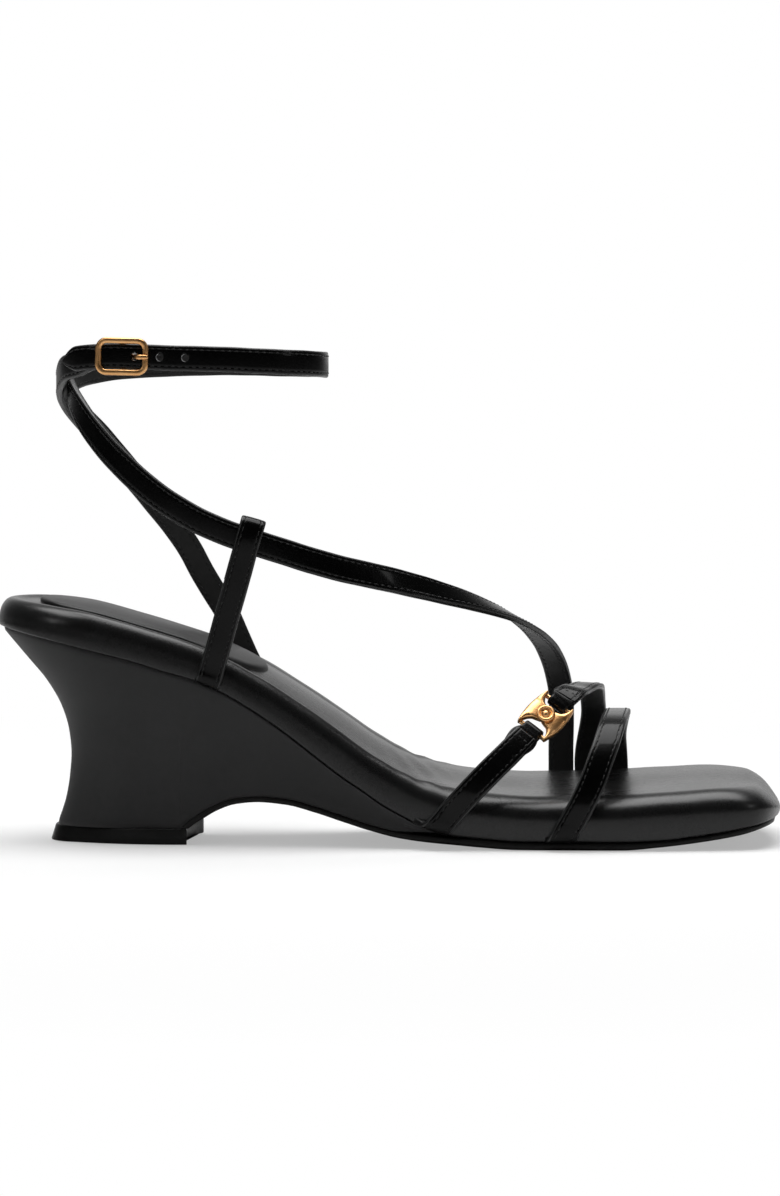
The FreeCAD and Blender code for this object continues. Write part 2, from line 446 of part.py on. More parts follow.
def main_solid(shape):
    """The single solid of a boolean result, without slivers."""
    largest = max(solid.Volume for solid in shape.Solids)
    solids = [solid for solid in shape.Solids if solid.Volume > 0.02 * largest]
    if len(solids) != 1:
        raise RuntimeError("boolean result has %d solids" % len(solids))
    return solids[0]


def cut_all(shape, tools):
    for tool in tools:
        shape = shape.cut(tool)
    return shape


def prism_xz(points):
    """A side profile pushed through the whole width."""
    corners = [Vector(x, -70, z) for x, z in points]
    return Part.Face(Part.makePolygon(corners + corners[:1])).extrude(Vector(0, 140, 0))


def band(upper, lower, start, end):
    """Side profile between two height functions."""
    stations = [row[0] for row in SEAM + TOP if start < row[0] < end]
    xs = sorted(set([start, end] + stations))
    return prism_xz([(x, upper(x)) for x in xs] + [(x, lower(x)) for x in reversed(xs)])


def closed_prism(points, height):
    """A smooth closed outline pushed upwards."""
    curve = Part.BSplineCurve()
    curve.interpolate(points, PeriodicFlag=True)
    return Part.Face(Part.Wire(curve.toShape())).extrude(Vector(0, 0, height))


# ---------------------------------------------------------------- straps
def sections(rows):
    return [(Vector(*row[0:3]), Vector(*row[3:6]), Vector(*row[6:9])) for row in rows]


def ribbon(strap, low, high, grow=0.0):
    """A solid strap between two offsets from its middle plane."""
    wires = []
    for edge_a, edge_b, normal in strap:
        widen = unit(edge_b - edge_a) * grow
        a, b = edge_a - widen, edge_b + widen
        wires.append(Part.makePolygon([
            a + normal * low, b + normal * low, b + normal * high, a + normal * high,
            a + normal * low]))
    return Part.makeLoft(wires, True, True)


def outer_layer(strap):
    return ribbon(strap, GLUE, GLUE + OUTER)


def lining_layer(strap):
    return ribbon(strap, -GLUE - LINING, -GLUE)


def outer_middle(strap):
    """The strap's sections moved to the middle of its outer layer."""
    return [(a + n * OUTER_MID, b + n * OUTER_MID, n) for a, b, n in strap]


def loop_sections(frame, toward, bar_at, bar_out, radius, half_end, half_bar, tail_at, like):
    """Middle plane of a leather layer that goes over a bar and folds back under it.

    toward is the side (+1 or -1 along the frame) the strap comes from, half_end and
    half_bar are half widths, like is the neighbouring strap section.
    """
    steps = 7
    # (along, outward, half width, normal along, normal outward)
    path = [
        (bar_at + toward * 2.0, bar_out + radius, half_end, 0, 1),
        (bar_at + toward * 1.2, bar_out + radius, half_bar, 0, 1),
    ]
    for i in range(steps):
        turn = math.pi * i / (steps - 1)
        sine, cosine = math.sin(turn), math.cos(turn)
        path.append((bar_at - toward * radius * sine, bar_out + radius * cosine,
                     half_bar, -toward * sine, cosine))
    path.append((bar_at + toward * 1.6, bar_out - radius, half_bar, 0, -1))
    path.append((tail_at, bar_out - radius, half_end, 0, -1))
    loop = [
        (frame.point(along, -half, out), frame.point(along, half, out),
         frame.along * normal_along + frame.outward * normal_out)
        for along, out, half, normal_along, normal_out in path
    ]
    # Keep the edge order of the neighbour, or the loft would twist.
    if (loop[0][0] - like[0]).Length > (loop[0][1] - like[0]).Length:
        loop = [(b, a, normal) for a, b, normal in loop]
    return loop


def make_vamp_straps(lower, upper):
    """Both outer layers loop round a bar of the link."""
    shared = dict(frame=LINK, bar_out=LINK_BAR_OUT, radius=LINK_LOOP_RADIUS,
                  half_end=3.7, half_bar=3.1)
    outer = outer_middle(lower)
    loop = loop_sections(toward=-1, bar_at=-LINK_BAR_AT, tail_at=-LINK_BAR_AT - 3.6,
                         like=outer[-1], **shared)
    feature("vamp_strap_lower_outer", ribbon(outer + loop, -OUTER / 2, OUTER / 2))
    feature("vamp_strap_lower_lining", lining_layer(lower))

    outer = outer_middle(upper)
    loop = loop_sections(toward=1, bar_at=LINK_BAR_AT, tail_at=LINK_BAR_AT + 2.15,
                         like=outer[0], **shared)
    feature("vamp_strap_upper_outer", ribbon(loop[::-1] + outer, -OUTER / 2, OUTER / 2))
    feature("vamp_strap_upper_lining", lining_layer(upper))


def make_buckle_strap(strap):
    """The outer layer loops round the buckle bar, slotted for the prong."""
    outer = outer_middle(strap)
    loop = loop_sections(frame=BUCKLE, toward=-1, bar_at=0.0, bar_out=BUCKLE_BAR_OUT,
                         radius=BUCKLE_LOOP_RADIUS, half_end=3.75, half_bar=3.6,
                         tail_at=-5.5, like=outer[-1])
    slot_width = 2.3
    slot = Part.makeBox(7.0, slot_width, 9.0, Vector(-3.2, -slot_width / 2, -6.0))
    slot.Placement = BUCKLE.placement()
    leather = ribbon(outer + loop, -OUTER / 2, OUTER / 2)
    feature("buckle_strap_outer", main_solid(leather.cut(slot)))
    feature("buckle_strap_lining", lining_layer(strap))


def make_strap_tail(strap):
    """Free end of the ankle strap, pointed, with its row of holes."""
    first_hole = 3.7
    tools = []
    for i in range(3):
        base = BUCKLE.point(first_hole + i * size("HolePitch"), 0.0, -6.0)
        tools.append(Part.makeCylinder(size("HoleDiameter") / 2, 12.0, base, BUCKLE.outward))
    a, b, normal = strap[-1]
    inner_a, inner_b, _ = strap[-3]
    along = unit((a + b) - (inner_a + inner_b))
    middle = (a + b) * 0.5
    sink = normal * -4
    for near, far in ((a, b), (b, a)):
        side = unit(near - far)
        tip = middle + along * 0.6 + sink
        corner = Part.makePolygon([
            tip, near + side * 2 - along * 4.6 + sink, near + side * 3 + along * 3 + sink,
            middle + along * 3 + sink, tip])
        tools.append(Part.Face(corner).extrude(normal * 8))
    feature("strap_tail_outer", main_solid(cut_all(outer_layer(strap), tools)))
    feature("strap_tail_lining", main_solid(cut_all(lining_layer(strap), tools)))


def tunnel(strap, count):
    """Room for the first sections of a strap inside the sole."""
    clear = size("SlotClear")
    a, b, normal = strap[0]
    beyond = unit(a - strap[1][0]) * 0.6
    run = [(a + beyond, b + beyond, normal)] + strap[:count]
    return ribbon(run, -GLUE - LINING - clear, GLUE + OUTER + clear + 0.35, clear)


def make_straps():
    """All the straps; returns the tunnels for their ends."""
    toe, instep, stay = sections(TOE_STRAP), sections(INSTEP_STRAP), sections(SIDE_STAY)
    lower, upper = sections(VAMP_LOWER), sections(VAMP_UPPER)
    buckle = sections(BUCKLE_STRAP)
    for name, strap in (("toe_strap", toe), ("instep_strap", instep), ("side_stay", stay)):
        feature(name + "_outer", outer_layer(strap))
        feature(name + "_lining", lining_layer(strap))
    make_vamp_straps(lower, upper)
    make_buckle_strap(buckle)
    make_strap_tail(sections(STRAP_TAIL))
    return [
        tunnel(toe, 7), tunnel(toe[::-1], 8), tunnel(instep, 8), tunnel(lower, 7),
        tunnel(upper[::-1], 8), tunnel(stay, 8), tunnel(buckle, 8),
    ]


# ---------------------------------------------------------------- fasteners
def add_cylinder(name, diameter, length, base, direction=UP):
    """A cylinder bound to two aliases of the sheet."""
    cylinder = doc.addObject("Part::Cylinder", name)
    cylinder.setExpression("Radius", "Sizes.%s / 2" % diameter)
    cylinder.setExpression("Height", "Sizes." + length)
    cylinder.Placement = FreeCAD.Placement(base, FreeCAD.Rotation(UP, direction))
    return cylinder


def add_compound(label, links):
    doc.addObject("Part::Compound", label).Links = links


def make_rivets():
    """Rivets through board and shank, square to the seam; returns their holes."""
    links, holes = [], []
    for i, (x, y) in enumerate(RIVETS):
        slope = (seam(x + 1) - seam(x - 1)) / 2
        axis = unit(Vector(-slope, 0, 1))
        base = Vector(x, y, seam(x)) - axis * (SHANK_THICK + 0.35)
        links.append(
            add_cylinder("RivetShank%d" % i, "RivetDiameter", "RivetLength", base, axis))
        holes.append(Part.makeCylinder(
            size("RivetDiameter") / 2 + 0.05, size("RivetLength") + 0.3,
            base - axis * 0.1, axis))
    add_compound("shank_rivets", links)
    return holes


def make_screws():
    """Countersunk screws from the board down into the core; returns their holes."""
    length, head_height = size("ScrewLength"), size("ScrewHeadHeight")
    hole_radius = size("ScrewDiameter") / 2 + PIN_FIT
    head_radius = size("ScrewHead") / 2 + 0.1
    links, holes = [], []
    for i, (x, y) in enumerate(SCREWS):
        z = seam(x) + GAP + BOARD - 1.2      # top of the head
        shaft = add_cylinder("ScrewShaft%d" % i, "ScrewDiameter", "ScrewLength",
                             Vector(x, y, z - length))
        head = doc.addObject("Part::Cone", "ScrewHead%d" % i)
        head.setExpression("Radius1", "Sizes.ScrewDiameter / 2")
        head.setExpression("Radius2", "Sizes.ScrewHead / 2")
        head.setExpression("Height", "Sizes.ScrewHeadHeight")
        head.Placement = FreeCAD.Placement(Vector(x, y, z - head_height), FreeCAD.Rotation())
        screw = doc.addObject("Part::Fuse", "Screw%d" % i)
        screw.Base = shaft
        screw.Tool = head
        links.append(screw)
        holes += [
            Part.makeCylinder(hole_radius, length + 1.0, Vector(x, y, z - length - 0.5)),
            Part.makeCone(hole_radius, head_radius, head_height + 0.1,
                          Vector(x, y, z - head_height - 0.05)),
            Part.makeCylinder(head_radius, 6.0, Vector(x, y, z + 0.04)),
        ]
    add_compound("heel_screws", links)
    return holes


def make_pins():
    """Pins that hold the top piece to the core; returns their holes."""
    base = size("PinBase")
    add_compound("top_piece_pins", [
        add_cylinder("Pin%d" % i, "PinDiameter", "PinLength", Vector(x, y, base))
        for i, (x, y) in enumerate(PINS)])
    return [
        Part.makeCylinder(size("PinDiameter") / 2 + PIN_FIT, size("PinLength") + 0.4,
                          Vector(x, y, base - 0.2))
        for x, y in PINS]


# ---------------------------------------------------------------- sole pieces
def back_rounding(x, back, radius):
    """Share of the full width left by the rounded back end."""
    if x >= back + radius:
        return 1.0
    return math.sqrt(max(0.0, 1 - (1 - (x - back) / radius) ** 2))


def side_points(x, outer, inner, share, z):
    """The two edge points at one station, drawn in towards their middle."""
    middle = (outer + inner) / 2
    return (Vector(x, middle + (outer - middle) * share, z),
            Vector(x, middle + (inner - middle) * share, z))


def plan_prism(inset):
    """Plan of the footbed, pulled in by inset, as an upright prism."""
    back, front = -37.0 + inset, 198.5 - inset
    back_radius, toe_length = 27.0, 17.0
    low = -5.0
    outer_side, inner_side = [], []
    steps = 30
    for i in range(steps + 1):
        x = back + (front - back) * (0.5 - 0.5 * math.cos(math.pi * i / steps))
        share = back_rounding(x, back, back_radius)
        toe_start = front - toe_length
        if x > toe_start:
            toe = max(0.0, 1 - ((x - toe_start) / toe_length) ** 3.2) ** (1 / 2.3)
            share = min(share, toe)
        outer, inner = side_points(
            x, value_at(x, PLAN, 1) + inset, value_at(x, PLAN, 2) - inset, share, low)
        outer_side.append(outer)
        inner_side.append(inner)
    return closed_prism(outer_side + inner_side[-2:0:-1], 95.0)


def make_footbed(tunnels, rivet_holes, screw_holes):
    """Leather cover, insole board and the foam between them."""
    cover = plan_prism(0.0).common(band(top, lambda x: seam(x) + GAP, -40, 200.5))
    inside = plan_prism(COVER).common(
        band(lambda x: top(x) - COVER, lambda x: seam(x) - 12, -40, 200.5))
    cover = cover.cut(inside)
    board = plan_prism(COVER + GAP).common(
        band(lambda x: seam(x) + GAP + BOARD, lambda x: seam(x) + GAP, -40, 196.5))
    foam = plan_prism(COVER + GAP).common(
        band(lambda x: top(x) - COVER - GAP, lambda x: seam(x) + 2 * GAP + BOARD, -40, 193.0))
    board_tools = tunnels + rivet_holes + screw_holes
    foam_tools = tunnels + screw_holes + rivet_holes
    feature("footbed_cover", main_solid(cut_all(cover, tunnels)))
    feature("insole_board", main_solid(cut_all(board, board_tools)))
    feature("footbed_foam", main_solid(cut_all(foam, foam_tools)))


def make_heel_sock():
    """Heel pad on top of the footbed."""
    prism = closed_prism([Vector(x, y, 30) for x, y in SOCK_PLAN], 60)
    thick = size("SockThick")
    layer = band(lambda x: top(x) + GAP + thick, lambda x: top(x) + GAP, -40, 60)
    feature("heel_sock", main_solid(prism.common(layer)))


def wedge_section(z, inset):
    """Horizontal outline of the wedge at one height, closed by a line at the front."""
    back = value_at(z, WEDGE_BACK) + inset
    front = 108.0
    radius = 15.0 + 12.0 * clamp((z - 5) / 58.0)
    outer_side, inner_side = [], []
    steps = 14
    for i in range(steps + 1):
        x = back + (front - back) * (i / steps) ** 1.9
        low = value_at(x, SOLE_TOP)
        # blend from the foot outline to the footbed plan on the way up
        rise = clamp((z - low) / max(seam(x) - low, 2.0))
        blend = rise * rise * (3 - 2 * rise) * 0.35 + rise * 0.65
        outer, inner = [
            value_at(x, FOOT, column) * (1 - blend) + value_at(x, PLAN, column) * blend
            for column in (1, 2)]
        outer, inner = side_points(
            x, outer + inset, inner - inset, back_rounding(x, back, radius), z)
        outer_side.append(outer)
        inner_side.append(inner)
    curve = Part.BSplineCurve()
    curve.interpolate(outer_side[::-1] + inner_side[1:])
    return Part.Wire([curve.toShape(), Part.makeLine(inner_side[-1], outer_side[-1])])


def wedge_loft(inset):
    return Part.makeLoft([wedge_section(z, inset) for z in WEDGE_LEVELS], True, False)


def wedge_band(end):
    """Side profile from the top piece and outsole up to the seam."""
    back = -45.0
    arch = SOLE_TOP[0][0]
    floor = TOP_PIECE + GAP
    xs = sorted(set([back, end] + [row[0] for row in SEAM + SOLE_TOP if row[0] < end]))
    upper = [(x, seam(x)) for x in xs]
    lower = [(x, value_at(x, SOLE_TOP) + GAP) for x in reversed(xs) if x >= arch]
    return prism_xz(upper + lower + [(arch, floor), (back, floor)])


def shank_block(upper, lower, clear):
    """A strip along the seam between two drops, grown by clear at ends and sides."""
    width = size("ShankWidth")
    strip = Part.makeBox(90.0, width + 2 * clear, 90.0,
                         Vector(-10.0, SHANK_Y - clear - width / 2, 0))
    layer = band(lambda x: seam(x) - upper, lambda x: seam(x) - lower,
                 -8.0 - clear, 76.0 + clear)
    return layer.common(strip)


def make_wedge(tunnels, rivet_holes, screw_holes, pin_holes):
    """Wedge core, its leather cover, and the shank let into the core."""
    thick = size("WedgeCoverThick")
    cover = wedge_loft(0.0).common(wedge_band(94.0)).cut(wedge_loft(thick))
    core = wedge_loft(thick + GAP).common(wedge_band(91.0))
    shank = shank_block(GAP, GAP + SHANK_THICK, 0.0)
    shank_bed = shank_block(-1.0, 2 * GAP + SHANK_THICK, 0.1)
    core_tools = tunnels + [shank_bed] + rivet_holes + screw_holes + pin_holes
    feature("wedge_core", main_solid(cut_all(core, core_tools)))
    feature("wedge_cover", main_solid(cut_all(cover, tunnels)))
    feature("shank", main_solid(cut_all(shank, rivet_holes)))


def make_outsole():
    points = [Vector(x, y, -5) for x, y in OUTSOLE_PLAN]
    curve = Part.BSplineCurve()
    curve.interpolate(points)
    outline = Part.Wire([curve.toShape(), Part.makeLine(points[-1], points[0])])
    prism = Part.Face(outline).extrude(Vector(0, 0, 40))
    feature("outsole", main_solid(prism.common(prism_xz(SOLE_TOP + SOLE_LOW))))


# ---------------------------------------------------------------- sketched bodies
def new_body(label):
    return doc.addObject("PartDesign::Body", label)


def new_sketch(body, name, role, height=0.0):
    plane = next(item for item in body.Origin.OriginFeatures if item.Role == role)
    sketch = body.newObject("Sketcher::SketchObject", name)
    sketch.AttachmentSupport = [(plane, "")]
    sketch.MapMode = "FlatFace"
    if height:
        sketch.AttachmentOffset = FreeCAD.Placement(Vector(0, 0, height), FreeCAD.Rotation())
    return sketch


def draw_line(sketch, start, end):
    sketch.addGeometry(Part.LineSegment(Vector(*start, 0), Vector(*end, 0)), False)


def draw_arc(sketch, start, middle, end):
    sketch.addGeometry(Part.Arc(Vector(*start, 0), Vector(*middle, 0), Vector(*end, 0)), False)


def draw_circle(sketch, x, y, radius):
    sketch.addGeometry(Part.Circle(Vector(x, y, 0), UP, radius), False)


def draw_polygon(sketch, points):
    for start, end in zip(points, points[1:] + points[:1]):
        draw_line(sketch, start, end)


def draw_rounded(sketch, length, width, radius):
    """A rectangle with round corners, centred on the sketch origin."""
    x, y = length / 2, width / 2
    bulge = radius * (1 - math.sqrt(0.5))
    draw_line(sketch, (-x + radius, -y), (x - radius, -y))
    draw_arc(sketch, (x - radius, -y), (x - bulge, -y + bulge), (x, -y + radius))
    draw_line(sketch, (x, -y + radius), (x, y - radius))
    draw_arc(sketch, (x, y - radius), (x - bulge, y - bulge), (x - radius, y))
    draw_line(sketch, (x - radius, y), (-x + radius, y))
    draw_arc(sketch, (-x + radius, y), (-x + bulge, y - bulge), (-x, y - radius))
    draw_line(sketch, (-x, y - radius), (-x, -y + radius))
    draw_arc(sketch, (-x, -y + radius), (-x + bulge, -y + bulge), (-x + radius, -y))


def pad(body, sketch, name, length, midplane=True):
    """Pad a sketch by an expression."""
    result = body.newObject("PartDesign::Pad", name)
    result.Profile = sketch
    result.setExpression("Length", length)
    result.Midplane = midplane
    sketch.Visibility = False
    doc.recompute()


def pocket(body, sketch, name, length, midplane=True):
    """Pocket a sketch by a number or an expression, and make sure that it cuts."""
    before = body.Shape.Volume
    result = body.newObject("PartDesign::Pocket", name)
    result.Profile = sketch
    result.Midplane = midplane
    if isinstance(length, str):
        result.setExpression("Length", length)
    else:
        result.Length = length
    doc.recompute()
    if body.Shape.Volume >= before - 0.1:
        raise RuntimeError(name + " cuts nothing")


def place(body, frame):
    body.Placement = frame.placement()
    doc.recompute()


def make_top_piece():
    """Heel top piece: curved back, concave front face."""
    outline = [
        ((-13.5, -14.6), (-21.6, -4.2), (-12.0, 6.4)),
        ((-12.0, 6.4), (4.0, 10.2), (22.6, 11.0)),
        ((22.6, 11.0), (18.6, -5.0), (19.6, -22.2)),
        ((19.6, -22.2), (2.0, -20.4), (-13.5, -14.6)),
    ]
    body = new_body("heel_top_piece")
    sketch = new_sketch(body, "TopPieceOutline", "XY_Plane")
    for arc in outline:
        draw_arc(sketch, *arc)
    pad(body, sketch, "TopPiecePad", "Sizes.TopPieceThick", midplane=False)
    sketch = new_sketch(body, "PinHoles", "XY_Plane", TOP_PIECE)
    for x, y in PINS:
        draw_circle(sketch, x, y, size("PinDiameter") / 2 + PIN_FIT)
    pocket(body, sketch, "PinPocket", "Sizes.TopPieceThick - Sizes.PinBase + 0.2",
           midplane=False)


def make_buckle_bar():
    """A pin across the frame."""
    body = new_body("buckle_bar")
    sketch = new_sketch(body, "BarCircle", "XZ_Plane")
    draw_circle(sketch, 0, BUCKLE_BAR_OUT, BUCKLE_BAR_RADIUS)
    sketch.addConstraint(Sketcher.Constraint("Radius", 0, BUCKLE_BAR_RADIUS))
    sketch.setExpression("Constraints[0]", "Sizes.BarDiameter / 2")
    pad(body, sketch, "BarPad", "Sizes.FrameWide - 0.1")
    place(body, BUCKLE)


def make_buckle_frame():
    """Rounded oblong ring with a post at each side that carries the bar."""
    length, width, wire = size("FrameLong"), size("FrameWide"), size("FrameWire")
    post_half = 1.25
    low, high = BUCKLE_BAR_OUT - post_half, FRAME_OUT
    body = new_body("buckle_frame")
    sketch = new_sketch(body, "FrameOutline", "XY_Plane", FRAME_OUT - wire / 2)
    draw_rounded(sketch, length, width, 2.6)
    draw_rounded(sketch, length - 2 * wire, width - 2 * wire, 1.3)
    pad(body, sketch, "FramePad", "Sizes.FrameWire", midplane=False)

    sketch = new_sketch(body, "PostOutline", "XZ_Plane")
    draw_polygon(sketch, [
        (-post_half, low), (post_half, low), (post_half, high), (-post_half, high)])
    pad(body, sketch, "PostPad", "Sizes.FrameWide")

    # open the space between the two posts
    sketch = new_sketch(body, "PostGap", "XZ_Plane")
    draw_polygon(sketch, [
        (-2.0, low - 1), (2.0, low - 1), (2.0, high + 1.5), (-2.0, high + 1.5)])
    pocket(body, sketch, "PostGapPocket", "Sizes.FrameWide - 2 * Sizes.FrameWire")

    sketch = new_sketch(body, "BarHole", "XZ_Plane")
    draw_circle(sketch, 0, BUCKLE_BAR_OUT, BUCKLE_BAR_RADIUS + size("BarClear"))
    pocket(body, sketch, "BarHolePocket", 14.0)
    place(body, BUCKLE)


def make_buckle_prong():
    """An eye on the bar and a bent finger that reaches over the frame."""
    rest = FRAME_OUT + size("FrameWire") / 2 + 0.08
    # (along, outward, half thickness) of the finger's centre line
    finger = [
        (0.9, BUCKLE_BAR_OUT + 0.55, 0.6), (2.0, BUCKLE_BAR_OUT + 0.95, 0.6),
        (3.1, -0.9, 0.58), (3.65, 0.4, 0.55), (4.0, 1.6, 0.55),
        (4.7, rest + 0.25, 0.55), (5.8, rest + 0.55, 0.55), (8.0, rest + 0.55, 0.42),
    ]
    left, right = [], []
    for i, (x, z, half) in enumerate(finger):
        before, after = finger[max(0, i - 1)], finger[min(len(finger) - 1, i + 1)]
        run, rise = after[0] - before[0], after[1] - before[1]
        step = math.hypot(run, rise)
        side_x, side_z = -rise / step * half, run / step * half
        left.append((x + side_x, z + side_z))
        right.append((x - side_x, z - side_z))
    body = new_body("buckle_prong")
    sketch = new_sketch(body, "ProngSide", "XZ_Plane")
    draw_polygon(sketch, left + right[::-1])
    pad(body, sketch, "ProngPad", "Sizes.ProngWide")
    sketch = new_sketch(body, "EyeRing", "XZ_Plane")
    draw_circle(sketch, 0, BUCKLE_BAR_OUT, 1.6)
    pad(body, sketch, "EyePad", "Sizes.ProngWide")
    sketch = new_sketch(body, "EyeHole", "XZ_Plane")
    draw_circle(sketch, 0, BUCKLE_BAR_OUT, BUCKLE_BAR_RADIUS + 0.05)
    pocket(body, sketch, "EyePocket", 6.0)
    place(body, BUCKLE)


def make_link_plate():
    """Plate with bowed sides, a round bite at each end and a hole for each bar."""
    x, y, middle = size("LinkLong") / 2, size("LinkEnd") / 2, size("LinkWaist") / 2
    body = new_body("ornament_plate")
    sketch = new_sketch(body, "LinkOutline", "XY_Plane")
    draw_arc(sketch, (-x, -y), (0, -middle), (x, -y))
    draw_line(sketch, (x, -y), (x, y))
    draw_arc(sketch, (x, y), (0, middle), (-x, y))
    draw_line(sketch, (-x, y), (-x, -y))
    pad(body, sketch, "LinkPad", "Sizes.LinkThick")
    sketch = new_sketch(body, "LinkBites", "XY_Plane")
    for side in (-1, 1):
        draw_circle(sketch, side * x, 0, size("LinkBite"))
    pocket(body, sketch, "LinkBitePocket", 6.0)
    sketch = new_sketch(body, "LinkBarHoles", "XZ_Plane")
    for side in (-1, 1):
        draw_circle(sketch, side * LINK_BAR_AT, LINK_BAR_OUT, LINK_BAR_RADIUS + 0.02)
    pocket(body, sketch, "LinkBarPocket", 10.0)
    place(body, LINK)


def make_boss():
    """Plain domed boss with a raised rim, on the middle of the link."""
    radius, height = size("BossRadius"), size("BossHeight")
    base = size("LinkThick") / 2 + 0.02
    body = new_body("ornament_boss")
    sketch = new_sketch(body, "BossProfile", "XZ_Plane")
    draw_polygon(sketch, [
        (0, base), (radius, base), (radius, base + height * 0.62),
        (radius - 0.35, base + height), (radius - 0.95, base + height),
        (radius - 1.2, base + height * 0.5), (radius - 1.5, base + height * 0.5),
        (0.7, base + height * 1.05), (0, base + height * 1.15)])
    revolution = body.newObject("PartDesign::Revolution", "BossRevolve")
    revolution.Profile = sketch
    revolution.ReferenceAxis = (sketch, ["V_Axis"])
    revolution.Angle = 360.0
    doc.recompute()
    place(body, LINK)


def make_link_bars():
    """Two bars through the horns of the link."""
    half = size("LinkBarLength") / 2
    add_compound("ornament_bars", [
        add_cylinder("LinkBar%d" % i, "LinkBar", "LinkBarLength",
                     LINK.point(side * LINK_BAR_AT, -half, LINK_BAR_OUT), LINK.across)
        for i, side in enumerate((-1, 1))])


# ---------------------------------------------------------------- build
strap_tunnels = make_straps()
rivet_cuts = make_rivets()
screw_cuts = make_screws()
pin_cuts = make_pins()
make_footbed(strap_tunnels, rivet_cuts, screw_cuts)
make_heel_sock()
make_wedge(strap_tunnels, rivet_cuts, screw_cuts, pin_cuts)
make_outsole()
make_top_piece()
make_buckle_bar()
make_buckle_frame()
make_buckle_prong()
make_link_plate()
make_boss()
make_link_bars()
doc.recompute()

# ---------------------------------------------------------------- check and write
NODES = [
    "outsole", "insole_board", "shank", "shank_rivets", "footbed_foam", "footbed_cover",
    "heel_sock", "wedge_core", "wedge_cover", "heel_top_piece", "top_piece_pins",
    "heel_screws", "toe_strap_outer", "toe_strap_lining",
    "vamp_strap_lower_outer", "vamp_strap_lower_lining",
    "vamp_strap_upper_outer", "vamp_strap_upper_lining",
    "ornament_plate", "ornament_boss", "ornament_bars",
    "instep_strap_outer", "instep_strap_lining", "side_stay_outer", "side_stay_lining",
    "buckle_strap_outer", "buckle_strap_lining", "strap_tail_outer", "strap_tail_lining",
    "buckle_frame", "buckle_bar", "buckle_prong",
]
# solids in the pieces that have more than one
GROUPS = {
    "shank_rivets": len(RIVETS), "top_piece_pins": len(PINS), "heel_screws": len(SCREWS),
    "ornament_bars": 2,
}
for item in doc.Objects:
    bad = [state for state in item.State if state in ("Invalid", "Error")]
    if bad:
        raise RuntimeError("%s: %s" % (item.Label, bad))
shapes = {name: doc.getObject(name).Shape for name in NODES}
for name, shape in shapes.items():
    if shape.isNull() or not shape.isValid():
        raise RuntimeError(name + " has a bad shape")
    if len(shape.Solids) != GROUPS.get(name, 1):
        raise RuntimeError("%s has %d solids" % (name, len(shape.Solids)))
os.makedirs("parts", exist_ok=True)
for name, shape in shapes.items():
    shape.exportStep("parts/%s.step" % name)
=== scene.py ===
"""Strappy wedge sandal for the right foot, with a buckled ankle strap and a gold link.

Sizes are in millimetres until `make` turns them into metres. x runs from the heel (about -37)
to the toe (about 198), y from the outer side (-) to the inner side (+), z up from the floor.
"""
import bpy
import bmesh
import math
from collections import namedtuple
import numpy as np
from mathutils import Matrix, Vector


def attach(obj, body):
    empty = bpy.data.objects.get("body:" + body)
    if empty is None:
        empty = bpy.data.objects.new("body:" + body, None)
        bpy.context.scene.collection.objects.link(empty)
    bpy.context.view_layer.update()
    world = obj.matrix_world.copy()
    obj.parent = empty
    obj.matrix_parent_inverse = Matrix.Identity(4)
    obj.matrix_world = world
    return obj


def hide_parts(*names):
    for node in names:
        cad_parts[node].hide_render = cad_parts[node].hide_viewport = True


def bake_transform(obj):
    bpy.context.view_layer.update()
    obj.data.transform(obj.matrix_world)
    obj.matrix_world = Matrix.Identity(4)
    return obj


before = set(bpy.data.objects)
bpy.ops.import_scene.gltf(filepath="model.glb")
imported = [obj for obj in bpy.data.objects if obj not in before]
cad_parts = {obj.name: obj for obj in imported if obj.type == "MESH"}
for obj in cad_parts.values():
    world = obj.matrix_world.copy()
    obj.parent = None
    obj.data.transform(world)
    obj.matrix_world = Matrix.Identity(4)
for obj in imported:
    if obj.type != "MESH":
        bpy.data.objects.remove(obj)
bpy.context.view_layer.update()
MM = 0.001

# --- strap sections
# Each row: two edge points of the strap's middle plane (x, y, z each) and its outward normal.

